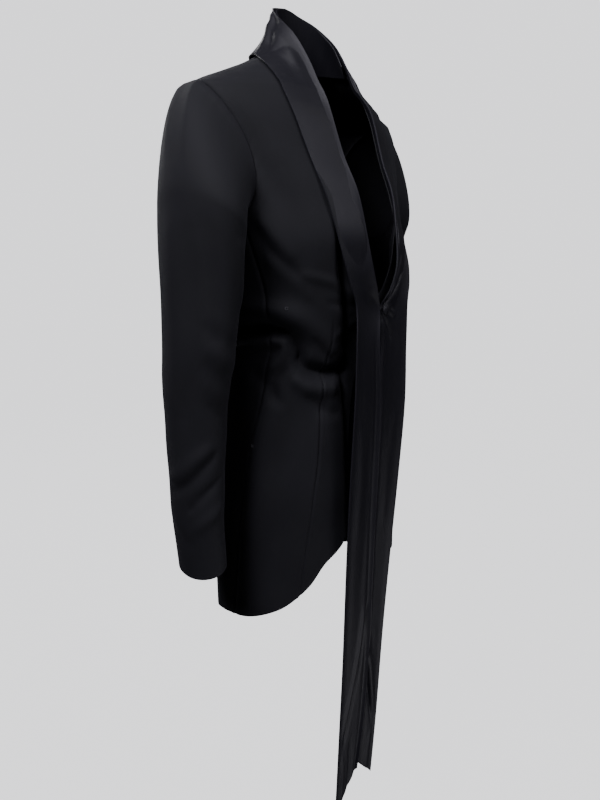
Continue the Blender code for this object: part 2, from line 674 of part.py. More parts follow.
def sleeve_grid(side, turn):
    """Grid of one sleeve piece between two seams, armhole to cuff."""
    columns = len(turn)
    start, leave = sleeve_start(turn, side, WOOL_WALL)
    top, cuff = (sleeve_sections(side)[row][0] for row in (0, -1))
    entry = sleeve_ring(turn, np.full(columns, top), side)
    below = sleeve_ring(turn, np.full(columns, top - SLEEVE_ENTRY_STEP), side)
    down = below - entry
    down /= np.linalg.norm(down, axis=-1, keepdims=True)
    span = np.linalg.norm(entry - start, axis=-1, keepdims=True)
    reach = np.maximum(span * SLEEVE_HEAD_REACH, SLEEVE_LEAST_REACH)
    rows = []
    for part in SLEEVE_HEAD_PARTS:
        square, cube = part ** 2, part ** 3
        rows.append(
            start * (2 * cube - 3 * square + 1)
            + leave * reach * (cube - 2 * square + part)
            + entry * (3 * square - 2 * cube)
            + down * span * SLEEVE_HEAD_DROP * (cube - square)
        )
    for height in np.linspace(top, cuff, SLEEVE_ROWS):
        rows.append(sleeve_ring(turn, np.full(columns, height), side))
    return np.stack(rows)


def body_gauge(point):
    """How far outside the body section a point lies, as a part of its size."""
    height = point[..., 2]
    half_width = read_table(BODY_SECTIONS, 1, height)
    behind = point[..., 1] > read_table(BODY_SECTIONS, 5, height)
    depth = np.where(behind, read_table(BODY_SECTIONS, 3, height), read_table(BODY_SECTIONS, 2, height))
    squareness = read_table(BODY_SECTIONS, 4, height)
    across = np.abs(point[..., 0]) / half_width
    ahead = np.abs(point[..., 1] - read_table(BODY_SECTIONS, 5, height)) / depth
    return (across ** squareness + ahead ** squareness) ** (1 / squareness) - 1


def pushed_out(point, clearance):
    """Points moved straight off the body where they come closer than a clearance."""
    for _ in range(PUSH_ROUNDS):
        here = body_gauge(point)
        slope = np.stack(
            [(body_gauge(point + move) - here) / STEP for move in np.eye(3) * STEP], axis=-1
        )
        steep = np.linalg.norm(slope, axis=-1)
        short = np.maximum(clearance - here / steep, 0.0)
        point = point + slope * (short / steep)[..., None]
    return point


def band_grid(side):
    """Grid of the collar and its scarf band, from centre back to the slanted end."""
    rows = COLLAR_SECTIONS + (RIGHT_BAND if side == RIGHT else LEFT_BAND)
    section = through(rows, np.linspace(0, len(rows) - 1, BAND_ROWS) * JUST_UNDER_ONE)
    roll, free, bow = section[:, None, 0:3], section[:, None, 3:6], section[:, 6:7]
    ruler = np.array(BAND_RULER)[None, :]
    point = roll + (free - roll) * ruler[..., None]
    along = np.gradient(point[:, point.shape[1] // 2, :], axis=0)[:, None, :]
    normal = np.cross(free - roll, along)
    normal /= np.linalg.norm(normal, axis=-1, keepdims=True)
    bulge = bow * np.sin(np.pi * ruler) - ROLL_DEPTH * np.exp(-ruler / ROLL_BREADTH)
    point = point + normal * bulge[..., None]
    lies = (point[..., 2] > CLOSURE_HEIGHT) & (ruler > ROLL_PART)
    clear = pushed_out(point, WOOL_WALL + BAND_CLEARANCE)
    point = np.where(lies[..., None], clear, point)
    point[0, :, 0] = HALF_GAP
    point[..., 0] *= side
    return point


def stand_grid():
    """Grid of the collar stand round the back of the neck."""
    last = len(STAND_SECTIONS) - 1
    at = np.linspace(-last, last, STAND_COLUMNS)
    flip = np.array([1.0, -1.0, 1.0, 1.0, -1.0, 1.0, 1.0])
    rows = np.concatenate([np.array(STAND_SECTIONS[:0:-1]) * flip, np.array(STAND_SECTIONS)])
    section = through(rows, (at + last) * JUST_UNDER_ONE)
    low, high = section[:, 1:4], section[:, 4:7]
    return np.stack([spread_between(low, high, part) for part in np.linspace(0, 1, STAND_ROWS)])


def add_button(collection):
    """The covered closure button: a low disc with rounded rims, seen edge on."""
    mesh = bpy.data.meshes.new("closure_button")
    work = bmesh.new()
    bmesh.ops.create_cone(
        work,
        cap_ends=True,
        segments=BUTTON_SEGMENTS,
        radius1=BUTTON_RADIUS,
        radius2=BUTTON_RADIUS,
        depth=BUTTON_THICKNESS,
    )
    work.to_mesh(mesh)
    work.free()
    thing = bpy.data.objects.new("closure_button", mesh)
    thing.location = BUTTON_PLACE
    thing.rotation_euler = (math.radians(90.0), 0.0, math.radians(BUTTON_TURN))
    collection.objects.link(thing)
    bevel = thing.modifiers.new("rim", "BEVEL")
    bevel.width = BUTTON_BEVEL
    bevel.segments = 2
    bevel.limit_method = "ANGLE"
    mesh.materials.append(make_material("closure_button", *BUTTON))
    return thing


def start_scene():
    """Remove what the scene holds and give it one collection for the blazer."""
    for thing in list(bpy.data.objects):
        bpy.data.objects.remove(thing, do_unlink=True)
    collection = bpy.data.collections.new(COLLECTION_NAME)
    bpy.context.scene.collection.children.link(collection)
    return collection


def on_body(grid, side, sink=0.0):
    """Points in space for a grid of angles and heights, sunk where the fronts lap."""
    angle, height = grid[..., 0], grid[..., 1]
    near = np.exp(-(angle / LAP_ANGLE) ** 2) * np.exp(-((height - CLOSURE_HEIGHT) / LAP_HEIGHT) ** 2)
    return body_point(angle, height, side, -sink * near)


def main():
    """Build every piece of the blazer."""
    collection = start_scene()
    for side, word in ((RIGHT, "right"), (LEFT, "left")):
        sink = LAP_SINK if side == LEFT else 0.0
        front = on_body(front_grid(side), side, sink)
        add_grid(collection, word + "_front", front, WOOL_WALL, WOOL, side == LEFT)
        add_grid(collection, word + "_side", on_body(side_grid(side), side), WOOL_WALL, WOOL, side == RIGHT)
        add_grid(collection, word + "_back", on_body(back_grid(side), side), WOOL_WALL, WOOL, side == RIGHT)
        top_turns, under_turns = armhole_turns()
        top_sleeve = sleeve_grid(side, top_turns)
        add_grid(collection, word + "_top_sleeve", top_sleeve, WOOL_WALL, WOOL, side == RIGHT)
        under_sleeve = sleeve_grid(side, under_turns)
        add_grid(collection, word + "_under_sleeve", under_sleeve, WOOL_WALL, WOOL, side == RIGHT)
        add_grid(collection, word + "_scarf_collar", band_grid(side), SATIN_WALL, SATIN, side == LEFT)
    add_grid(collection, "collar_stand", stand_grid(), STAND_WALL, SATIN, False)
    add_button(collection)
    bpy.context.view_layer.update()


main()
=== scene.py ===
"""Dressed model of a worn tuxedo blazer with a satin shawl collar that ends in two scarf bands.

Metres, +Z up.  The front faces -Y and the side named right is at -X.  The body cloth
follows one form given by an angle round the body and a height; every panel is a fine
grid on it between its own seams, with its creases worked in.  The rows of the tables are
in millimetres and degrees.
"""
import logging
import math
from dataclasses import dataclass
from enum import Enum

import bpy
import numpy as np
from mathutils import Matrix, Vector


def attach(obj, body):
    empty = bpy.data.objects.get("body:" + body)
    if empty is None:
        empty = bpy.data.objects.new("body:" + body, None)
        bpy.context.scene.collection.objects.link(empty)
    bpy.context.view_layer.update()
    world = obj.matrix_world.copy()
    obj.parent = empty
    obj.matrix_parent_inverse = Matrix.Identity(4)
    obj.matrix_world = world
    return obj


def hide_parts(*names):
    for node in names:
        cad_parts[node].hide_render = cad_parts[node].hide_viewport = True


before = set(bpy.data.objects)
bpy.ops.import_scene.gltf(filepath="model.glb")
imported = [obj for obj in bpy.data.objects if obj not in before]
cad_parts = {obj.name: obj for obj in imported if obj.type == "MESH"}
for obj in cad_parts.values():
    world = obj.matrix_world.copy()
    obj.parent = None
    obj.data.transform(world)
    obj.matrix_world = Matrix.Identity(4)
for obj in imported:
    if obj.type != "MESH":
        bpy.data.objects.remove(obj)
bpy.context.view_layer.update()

LOG = logging.getLogger("blazer")
Array = np.ndarray
Row = tuple[float, ...]
# whether a grid's first column, last column, first row and last row count
Edges = tuple[bool, bool, bool, bool]
PER_METRE = 1000.0
FULL_TURN = 2 * math.pi
JUST_UNDER_ONE = 1 - 1e-9


class Side(Enum):
    """Side of the blazer, as the one who wears it would say, and its sign along X."""

    RIGHT = -1
    LEFT = 1

    @property
    def word(self) -> str:
        """The side's word in piece names."""
        return self.name.lower()

    def pick(self, right: object, left: object) -> object:
        """The one of two values that belongs to this side."""
        return left if self is Side.LEFT else right


def in_metres(*rows: Row, plain: int = -1) -> tuple[Row, ...]:
    """Rows in millimetres as metres, except one column that stays as it is."""
    return tuple(tuple(v if n == plain else v / PER_METRE for n, v in enumerate(row)) for row in rows)


def eased(part: Array) -> Array:
    """A smooth step from 0 to 1 as the part goes from 0 to 1."""
    part = np.clip(part, 0.0, 1.0)
    return part * part * (3 - 2 * part)


def between(low: float, high: float, part: Array) -> Array:
    """Numbers from low to high at the given parts of the way."""
    return low + (high - low) * part


def bell(distance: Array, breadth: float) -> Array:
    """A soft bump of height 1 that falls away over a breadth."""
    return np.exp(-((distance / breadth) ** 2))


def unit(vectors: Array) -> Array:
    """The vectors at length 1."""
    return vectors / np.linalg.norm(vectors, axis=-1, keepdims=True)


def dot(first: Array, second: Array) -> Array:
    """Dot product of vectors, kept as a last axis."""
    return np.sum(first * second, axis=-1, keepdims=True)


def cubic(part: Array, start: Array, leaving: Array, end: Array, arriving: Array) -> Array:
    """A cubic from start to end with the slopes it leaves and arrives with.

    Args:
        part: parts of the way.
        start: values at the start.
        leaving: slopes there.
        end: values at the end.
        arriving: slopes there.
    Returns:
        Values at the parts.
    """
    square, cube = part ** 2, part ** 3
    return (
        start * (2 * cube - 3 * square + 1)
        + leaving * (cube - 2 * square + part)
        + end * (3 * square - 2 * cube)
        + arriving * (cube - square)
    )


def through(rows: Array, at: Array) -> Array:
    """Points on a smooth curve through the rows of an array, read at row numbers.

    Args:
        rows: the points.
        at: row numbers, whole or between.
    Returns:
        One point for each number.
    """
    rows = np.asarray(rows, float)
    index = np.clip(np.floor(at).astype(int), 0, len(rows) - 2)
    before, after = rows[np.maximum(index - 1, 0)], rows[np.minimum(index + 2, len(rows) - 1)]
    here, there = rows[index], rows[index + 1]
    return cubic((np.asarray(at) - index)[:, None], here, (there - before) / 2, there, (after - here) / 2)


def edge_ruler(count: int, extra: Row = (0.003, 0.007, 0.013, 0.022), first_step: float = 1.7) -> Array:
    """Parts from 0 to 1, even in the middle and closer together at both ends.

    Args:
        count: number of even steps.
        extra: parts of the way in from each end that are added.
        first_step: where the even steps start, as a share of the last extra part.
    Returns:
        The parts.
    """
    low = extra[-1] * first_step
    ends = np.array(extra)
    return np.concatenate([[0.0], ends, np.linspace(low, 1 - low, count), 1 - ends[::-1], [1.0]])


@dataclass(frozen=True)
class Table:
    """A short table whose columns are read along its first one."""

    rows: tuple[Row, ...]

    def read(self, number: int, at: Array) -> Array:
        """A column at places along the first one, on a smooth curve level at its own peaks.

        Args:
            number: the column.
            at: places along the first column.
        Returns:
            The column's values there.
        """
        rows = np.array(self.rows if self.rows[0][0] < self.rows[-1][0] else self.rows[::-1], float)
        places, values = rows[:, 0], rows[:, number]
        at = np.clip(np.asarray(at, float), places[0], places[-1])
        run = np.diff(places)
        slope = np.diff(values) / run
        tangent = np.zeros_like(values)
        tangent[0], tangent[-1] = slope[0], slope[-1]
        before, after = slope[:-1], slope[1:]
        same = before * after > 0
        first, second = 2 * run[1:] + run[:-1], run[1:] + 2 * run[:-1]
        shares = first / np.where(same, before, 1.0) + second / np.where(same, after, 1.0)
        mean = (first + second) / shares
        tangent[1:-1] = np.where(same, mean, 0.0)
        index = np.clip(np.searchsorted(places, at, side="right") - 1, 0, len(run) - 1)
        length = run[index]
        return cubic(
            (at - places[index]) / length,
            values[index], tangent[index] * length, values[index + 1], tangent[index + 1] * length,
        )

    def columns(self, at: Array) -> list[Array]:
        """Every column after the first, at places along that one."""
        return [self.read(number, at) for number in range(1, len(self.rows[0]))]


@dataclass(frozen=True)
class Crease:
    """One ridge (rise above 0) or trough of the cloth along a smooth line.

    path holds places (first and second coordinate of the cloth), breadth is half its
    width and rise its height, both in metres.
    """

    path: tuple[tuple[float, float], ...]
    breadth: float
    rise: float
    steps: int = 9
    reach: float = 3.2
    end_breadth: float = 0.62
    end_rise: float = 0.25

    def heights(self, first: Array, second: Array, scale: float, seed: float) -> Array:
        """How far the crease lifts each point of the cloth.

        Args:
            first: first coordinate, such as degrees.
            second: second coordinate, metres.
            scale: metres for each unit of the first coordinate.
            seed: number that varies the crease's unevenness.
        Returns:
            Heights in metres.
        """
        last = len(self.path) - 1
        line = through(self.path, np.linspace(0, last, self.steps * last + 1) * JUST_UNDER_ONE)
        line[:, 0] *= scale
        places = np.stack(np.broadcast_arrays(first * scale, second), axis=-1)
        reach = self.reach * self.breadth
        near = np.all((places > line.min(axis=0) - reach) & (places < line.max(axis=0) + reach), axis=-1)
        total = np.zeros(near.shape)
        if not near.any():
            return total
        away = places[near][:, None] - line[:-1]
        step = np.diff(line, axis=0)
        length = np.linalg.norm(step, axis=1) + 1e-12
        held = np.clip(np.sum(away * step, axis=-1) / length, 0, length)
        off = np.linalg.norm(away - step * (held / length)[..., None], axis=-1)
        best = np.argmin(off, axis=1)
        pick = np.arange(len(best)), best
        run = np.concatenate([[0.0], np.cumsum(length)])
        place = (run[best] + held[pick]) / run[-1]
        wave = 1 + 0.12 * np.sin(place * 7.0 + seed) + 0.04 * np.sin(place * 19.0 + 2.3 * seed)
        ends = np.sqrt(np.clip(4 * place * (1 - place), 0, 1))
        wander = 1 + 0.06 * np.sin(place * 9.0 + seed * 1.7)
        breadth = self.breadth * between(self.end_breadth, 1, ends) * wander
        total[near] = self.rise * wave * between(self.end_rise, 1, ends) * bell(off[pick], breadth)
        return total


def crease_rows(*rows: Row) -> tuple[Crease, ...]:
    """Creases from rows of breadth, rise and the places of their path, with lengths in millimetres.

    Args:
        rows: breadth, rise and then the places of each crease.
    Returns:
        The creases.
    """
    made = []
    for breadth, rise, *places in rows:
        path = tuple(zip(places[::2], (value / PER_METRE for value in places[1::2])))
        made.append(Crease(path, breadth / PER_METRE, rise / PER_METRE))
    return tuple(made)


def lifted(rows: tuple[Crease, ...], first: Array, second: Array, scale: float, seed: float) -> Array:
    """Heights of several creases together, each with its own unevenness."""
    return sum(crease.heights(first, second, scale, seed + number) for number, crease in enumerate(rows))


@dataclass(frozen=True)
class Undulation:
    """The slight unevenness of hanging cloth, as a few long soft waves."""

    rise: float
    waves: tuple[Row, ...] = (
        # turns per metre across, turns per metre up, phase, share
        (5.1, 2.3, 0.4, 1.0), (-3.7, 6.2, 1.9, 0.8), (9.3, -4.4, 3.1, 0.5),
        (2.2, 11.5, 5.2, 0.45), (-13.0, 8.1, 0.9, 0.3), (19.0, 7.0, 4.0, 0.18),
    )

    def heights(self, across: Array, up: Array, seed: float) -> Array:
        """Heights of the waves at places in metres.

        Args:
            across: places across, metres.
            up: places up, metres.
            seed: number that varies the result.
        Returns:
            Heights in metres.
        """
        total = np.zeros(np.broadcast(across, up).shape)
        for first, second, phase, share in self.waves:
            bend = 0.6 * np.sin(FULL_TURN * (up * 1.9 + across * 1.3) + phase + seed)
            turn = FULL_TURN * (across * first + up * second)
            total = total + share * np.sin(turn + phase * (1 + seed) + bend)
        return self.rise * total


@dataclass(frozen=True)
class Gathers:
    """Small uneven gathers beside a seam, gone at the seam itself and again at some reach."""

    rise: float
    reach: float
    start: float
    waves: Row  # quick, slow, its phase, third, its phase, its share

    def heights(self, distance: Array, run: Array) -> Array:
        """Heights by the distance from the seam and the place along it, in metres.

        Args:
            distance: distances, metres.
            run: places along the seam, metres.
        Returns:
            Heights in metres.
        """
        quick, slow, slow_phase, third, third_phase, share = self.waves
        wave = np.sin(run * quick) * np.sin(run * slow + slow_phase)
        wave = wave + share * np.sin(run * third + third_phase)
        return self.rise * wave * np.exp(-distance / self.reach) * (1 - np.exp(-distance / self.start))


@dataclass(frozen=True)
class LeftShoulder:
    """The left shoulder stands back and down a little."""

    back: float = 0.024
    down: float = 0.012
    breadth: float = 0.10
    top_height: float = -0.20
    end_height: float = -0.32

    def posed(self, point: Array) -> Array:
        """Points with the left shoulder set back and down.

        Args:
            point: points, metres.
        Returns:
            The posed points.
        """
        moved = point.copy()
        high = eased((point[..., 2] - self.end_height) / (self.top_height - self.end_height))
        moved[..., 1] += self.back * high * eased(point[..., 0] / self.breadth)
        moved[..., 2] -= self.down * high * eased(point[..., 0] / self.breadth - 0.5)
        return moved


# breadth, rise, then degrees round the body and height of each place
BODY_CREASES = crease_rows(
    # the deep fold round the waist, and the cloth that swells above and below it
    (9, -15, 96, -356, 84, -351, 72, -343, 62, -339, 54, -345),
    (8.6, -12, 60, -342, 52, -347, 47, -362, 44, -382),
    (10.4, -16.5, 47, -376, 41, -393, 30, -401, 16, -399),
    (7.2, 6.4, 90, -370, 76, -363, 64, -356, 55, -358, 55, -374, 62, -396),
    (15, 8.4, 84, -322, 66, -316, 50, -324, 34, -350, 24, -374), (12, 6.2, 48, -404, 36, -420, 22, -424),
    (8, -3, 52, -392, 58, -412, 60, -440), (5, -2.2, 38, -352, 32, -370, 24, -388),
    (10, -2.6, 74, -400, 66, -412, 54, -444), (9, -3, 40, -430, 30, -450, 20, -462),
    # the cloth turns in beside the scarf band, so that a gap opens between the two
    (5.6, -10.5, 24.5, -205, 24.5, -250, 22.8, -290, 20.2, -325, 18, -370),
    (6, -8, 18.5, -378, 17.5, -410, 15.5, -450), (4, -6, 16, -430, 14, -500, 13, -580, 12.5, -650),
    # pulls that run out from the closure
    (6.2, 2.6, 3, -312, 14, -300, 28, -282, 44, -270), (5, -2.2, 3, -318, 16, -312, 32, -306),
    (6, 2.4, 3, -324, 14, -336, 26, -352),
    # soft hang of the chest below the shoulder
    (15, -2.4, 62, -110, 52, -160, 44, -215, 42, -260), (11, 2.8, 66, -190, 58, -225, 48, -252),
    (8, -2.6, 64, -218, 56, -248, 46, -272), (10, 2, 62, -250, 50, -276, 40, -300),
    (17, 2, 74, -55, 52, -85, 42, -140),
    # hang of the skirt
    (13, 2.2, 24, -430, 31, -500, 37, -600, 41, -690), (17, -3.2, 48, -450, 54, -540, 60, -640, 64, -740),
    (18, 4, 62, -440, 70, -540, 77, -650, 80, -750), (16, -3.4, 84, -420, 90, -540, 93, -660, 92, -770),
    (19, 4, 104, -430, 108, -560, 112, -690, 113, -785),
    (17, -3.6, 126, -440, 128, -560, 126, -680, 128, -790),
    (20, 3.8, 148, -450, 146, -570, 148, -700, 146, -790),
    (17, -3, 166, -440, 165, -560, 162, -690, 163, -795),
    # the back: folds at the waist and the soft slant from shoulder blade to underarm
    (10, -8.4, 106, -350, 126, -344, 146, -356, 168, -362),
    (12, 6, 108, -372, 128, -378, 150, -390, 168, -388), (14, 5.6, 114, -316, 136, -314, 158, -330),
    (9, -3.4, 124, -410, 140, -420, 156, -418), (15, -3.4, 120, -130, 130, -190, 146, -240),
    (13, 3, 118, -170, 128, -226, 142, -276), (10, -2.8, 112, -218, 122, -262, 134, -296),
)


@dataclass(frozen=True)
class BodyForm:
    """The form that the body cloth follows, from neck to hem."""

    sections: Table = Table(in_metres(
        # height, half_width, front, back, squareness, shift
        (85, 40, 34, 45, 2, -2), (60, 44, 38, 49, 2, -1), (35, 50, 43, 53, 2, 1), (15, 60, 50, 57, 2, 3),
        (2, 76, 54, 62, 2, 5), (-12, 102, 57, 70, 2, 6), (-28, 140, 62, 79, 2.1, 6),
        (-42, 174, 69, 88, 2.2, 6), (-52, 190, 75, 93, 2.3, 6), (-75, 189, 86, 102, 2.4, 5),
        (-120, 180, 102, 112, 2.4, 3), (-175, 170, 126, 115, 2.3, 2), (-235, 164, 141, 110, 2.2, 0),
        (-300, 153, 136, 98, 2.1, 0), (-365, 142, 122, 90, 2.1, 2), (-430, 144, 119, 96, 2.1, 3),
        (-520, 150, 122, 107, 2.1, 3), (-640, 153, 125, 112, 2.1, 3), (-830, 156, 128, 115, 2.1, 3),
        (-1200, 156, 128, 115, 2.1, 3),
        plain=4,
    ))
    fold_radius: float = 0.13
    undulation: Undulation = Undulation(0.0008)
    calm: float = 0.35
    armhole_middle: float = -0.131
    armhole_half_height: float = 0.084
    armhole_front_spread: float = 31.0
    armhole_back_spread: float = 30.0

    @property
    def fold_scale(self) -> float:
        """Metres of cloth for each degree."""
        return math.radians(1.0) * self.fold_radius

    def bare_point(self, angle: Array, height: Array, side: Side, off: Array | float = 0.0) -> Array:
        """Points on the form without folds, moved off it by a distance.

        Args:
            angle: degrees round the body, 0 in front.
            height: heights, metres.
            side: the half.
            off: distance off the form, metres.
        Returns:
            The points.
        """
        angle, height, off = (value.astype(float) for value in np.broadcast_arrays(angle, height, off))
        half_width, front, back, squareness, shift = self.sections.columns(height)
        power = 2.0 / squareness
        sine, cosine = np.sin(np.radians(angle)), np.cos(np.radians(angle))
        depth = np.where(cosine > 0, front, back)
        across = half_width * np.sign(sine) * np.abs(sine) ** power
        ahead = -depth * np.sign(cosine) * np.abs(cosine) ** power
        reach = np.stack([across, ahead, np.zeros_like(sine)], axis=-1)
        outward = unit(reach / np.stack([half_width ** 2, depth ** 2, np.ones_like(depth)], axis=-1))
        point = reach + outward * off[..., None]
        point[..., 1] += shift
        point[..., 2] = height
        point[..., 0] *= side.value
        return point

    def creases(self, angle: Array, height: Array, side: Side) -> Array:
        """Rise and fall of all folds, a little different on the left.

        Args:
            angle: degrees round the body, 0 in front.
            height: heights, metres.
            side: the half.
        Returns:
            Heights in metres.
        """
        seed = side.pick(0.7, 2.9)
        turned = side.pick(angle, angle + 2.5 * np.sin(height * 21.0))
        total = lifted(BODY_CREASES, turned, height, self.fold_scale, seed)
        steady = between(self.calm, 1.0, eased((-height - 0.10) / 0.25))
        across = angle * self.fold_scale * side.value
        return total + steady * self.undulation.heights(across, height, side.pick(0.3, 0.8))

    def point(self, angle: Array, height: Array, side: Side, off: Array | float = 0.0) -> Array:
        """Points on the creased cloth, moved off it by a distance."""
        angle, height = np.broadcast_arrays(np.asarray(angle, float), np.asarray(height, float))
        return self.bare_point(angle, height, side, self.creases(angle, height, side) + off)

    def normal(self, angle: Array, height: Array, side: Side) -> Array:
        """Outward direction of the form.

        Args:
            angle: degrees round the body, 0 in front.
            height: heights, metres.
            side: the half.
        Returns:
            Unit vectors.
        """
        step, rise = 0.5, 1e-4
        by_angle = self.bare_point(angle + step, height, side) - self.bare_point(angle - step, height, side)
        by_height = self.bare_point(angle, height + rise, side) - self.bare_point(angle, height - rise, side)
        return unit(np.cross(by_angle, by_height) * side.value)

    def turned(self, angle: Array, height: Array, side: Side, distance: float) -> Array:
        """Angles shifted so that the point moves by a distance along its level ring."""
        step = self.bare_point(np.asarray(angle) + 1.0, height, side) - self.bare_point(angle, height, side)
        return angle + distance / np.linalg.norm(step, axis=-1)

    def angle_at(self, distance: Array, height: Array) -> Array:
        """Angle at which the front lies a distance from the centre line.

        Args:
            distance: distances, metres.
            height: heights, metres.
        Returns:
            Degrees.
        """
        half_width, squareness = self.sections.read(1, height), self.sections.read(4, height)
        part = np.clip(np.abs(distance) / half_width, 0.0, 1.0)
        return np.sign(distance) * np.degrees(np.arcsin(part ** (squareness / 2)))

    def armhole(self, turn: Array) -> tuple[Array, Array]:
        """Angle and height of the armhole at a turn: 0 at the top, 90 in front.

        Args:
            turn: degrees.
        Returns:
            Degrees round the body and heights.
        """
        turn = np.radians(turn)
        sine = np.sin(turn)
        spread = np.where(sine > 0, self.armhole_front_spread, self.armhole_back_spread)
        return 90.0 - spread * sine, self.armhole_middle + self.armhole_half_height * np.cos(turn)

    def gauge(self, point: Array) -> Array:
        """How far outside the form a point lies, as a part of its size.

        Args:
            point: points, metres.
        Returns:
            0 on the form and more outside.
        """
        half_width, front, back, squareness, shift = self.sections.columns(point[..., 2])
        depth = np.where(point[..., 1] > shift, back, front)
        across, ahead = np.abs(point[..., 0]) / half_width, np.abs(point[..., 1] - shift) / depth
        return (across ** squareness + ahead ** squareness) ** (1 / squareness) - 1

    def pushed_out(self, point: Array, clearance: float) -> Array:
        """Points moved straight off the form where they come closer than a clearance.

        Args:
            point: points, metres.
            clearance: least distance, metres.
        Returns:
            The moved points.
        """
        step, rounds = 1e-4, 4
        for _ in range(rounds):
            here = self.gauge(point)
            there = np.stack([self.gauge(point + move) for move in np.eye(3) * step], axis=-1)
            slope = (there - here[..., None]) / step
            steep = np.linalg.norm(slope, axis=-1)
            short = np.maximum(clearance - here / steep, 0.0)
            point = point + slope * (short / steep)[..., None]
        return point


@dataclass
class Socket:
    """A shader value with operators: numbers give Math nodes, vectors Vector Math."""

    tree: bpy.types.NodeTree
    link: bpy.types.NodeSocket
    vector: bool = False

    def _math(self, operation: str, *values: object) -> "Socket":
        """One Math or Vector Math node fed with sockets or numbers.

        Args:
            operation: the node's operation.
            values: sockets or numbers.
        Returns:
            The result.
        """
        kind = "ShaderNodeVectorMath" if self.vector else "ShaderNodeMath"
        maker, settings = NodeMaker(self.tree), {"operation": operation}
        return maker.add(kind, settings, dict(enumerate(values)), vector=self.vector)

    def __add__(self, other: object) -> "Socket":
        """Sum."""
        return self._math("ADD", self, other)

    def __sub__(self, other: object) -> "Socket":
        """Difference."""
        return self._math("SUBTRACT", self, other)

    def __rsub__(self, other: object) -> "Socket":
        """Difference from a number."""
        return self._math("SUBTRACT", other, self)

    def __mul__(self, other: object) -> "Socket":
        """Product."""
        return self._math("MULTIPLY", self, other)

    __radd__ = __add__
    __rmul__ = __mul__

    def sine(self) -> "Socket":
        """Sine of a number."""
        return self._math("SINE", self)

    def clamped(self) -> "Socket":
        """The number held between 0 and 1."""
        return self._math("MINIMUM", self._math("MAXIMUM", self, 0.0), 1.0)


@dataclass
class NodeMaker:
    """Adds nodes to one material's tree."""

    tree: bpy.types.NodeTree

    def add(self, kind: str, settings: dict[str, object], values: dict[int | str, object],
            output: int | str = 0, vector: bool = False) -> Socket:
        """One node of any type.

        Args:
            kind: the node's type.
            settings: its settings, set before its sockets.
            values: values or links of its sockets, by number or name.
            output: which output is returned.
            vector: whether the result is a vector or colour.
        Returns:
            The wrapped output socket.
        """
        node = self.tree.nodes.new(kind)
        for key, value in settings.items():
            setattr(node, key, value)
        for key, value in values.items():
            if isinstance(value, Socket):
                self.tree.links.new(value.link, node.inputs[key])
            elif value is not None:
                node.inputs[key].default_value = value
        return Socket(self.tree, node.outputs[output], vector)

    def ramp(self, factor: Socket, stops: tuple[tuple[float, float], ...]) -> Socket:
        """A soft curve from a number to a number, given as places and grey values.

        Args:
            factor: the number that is curved.
            stops: places and grey values.
        Returns:
            The result.
        """
        result = self.add("ShaderNodeValToRGB", {}, {0: factor})
        ramp = result.link.node.color_ramp
        ramp.interpolation = "EASE"
        while len(ramp.elements) < len(stops):
            ramp.elements.new(0.5)
        for element, (place, grey) in zip(ramp.elements, stops):
            element.position = place
            element.color = (grey, grey, grey, 1.0)
        return result

    def mixed(self, factor: Socket, first: Row, second: Row) -> Socket:
        """Two colours mixed by a factor."""
        values = {0: factor, 6: (*first, 1.0), 7: (*second, 1.0)}
        return self.add("ShaderNodeMix", {"data_type": "RGBA"}, values, 2, True)

    def object_place(self) -> Socket:
        """Place in the object's own metres."""
        return self.add("ShaderNodeTexCoord", {}, {}, "Object", True)

    def place(self) -> tuple[Socket, Socket, Socket, Socket]:
        """Place on the cloth in metres, and its parts: across, along and distance from an edge.

        Returns:
            The place and its three parts.
        """
        place = self.add("ShaderNodeAttribute", {"attribute_name": "cloth"}, {}, "Vector", True)
        across = self.add("ShaderNodeSeparateXYZ", {}, {0: place})
        outputs = across.link.node.outputs
        return place, across, Socket(self.tree, outputs[1]), Socket(self.tree, outputs[2])

    def noise(self, place: Socket, stretch: Row, scale: float, detail: float = 3.0) -> Socket:
        """Soft noise on the cloth, stretched by three factors."""
        return self.add("ShaderNodeTexNoise", {}, {0: place * stretch, "Scale": scale, "Detail": detail})

    def bump(self, height: Socket, distance: float, strength: float, under: Socket | None = None) -> Socket:
        """A Bump node on a height, on top of another one if given."""
        values = {"Strength": strength, "Distance": distance, "Height": height, "Normal": under}
        return self.add("ShaderNodeBump", {}, values, vector=True)


@dataclass(frozen=True)
class Finish:
    """What all finishes share: two tones of a colour, and how a material is made."""

    name: str
    dark: Row
    light: Row
    roughness: float
    constants: tuple[tuple[str, object], ...] = ()

    def surface(self, maker: NodeMaker) -> dict[str, Socket]:
        """What varies over the surface, by the shader's socket."""
        raise NotImplementedError

    def make(self) -> bpy.types.Material:
        """Build the material.

        Returns:
            The material.
        """
        material = bpy.data.materials.new(self.name)
        material.use_nodes = True
        shader = material.node_tree.nodes["Principled BSDF"]
        for name, value in self.constants:
            shader.inputs[name].default_value = value
        for name, value in self.surface(NodeMaker(material.node_tree)).items():
            material.node_tree.links.new(value.link, shader.inputs[name])
        return material


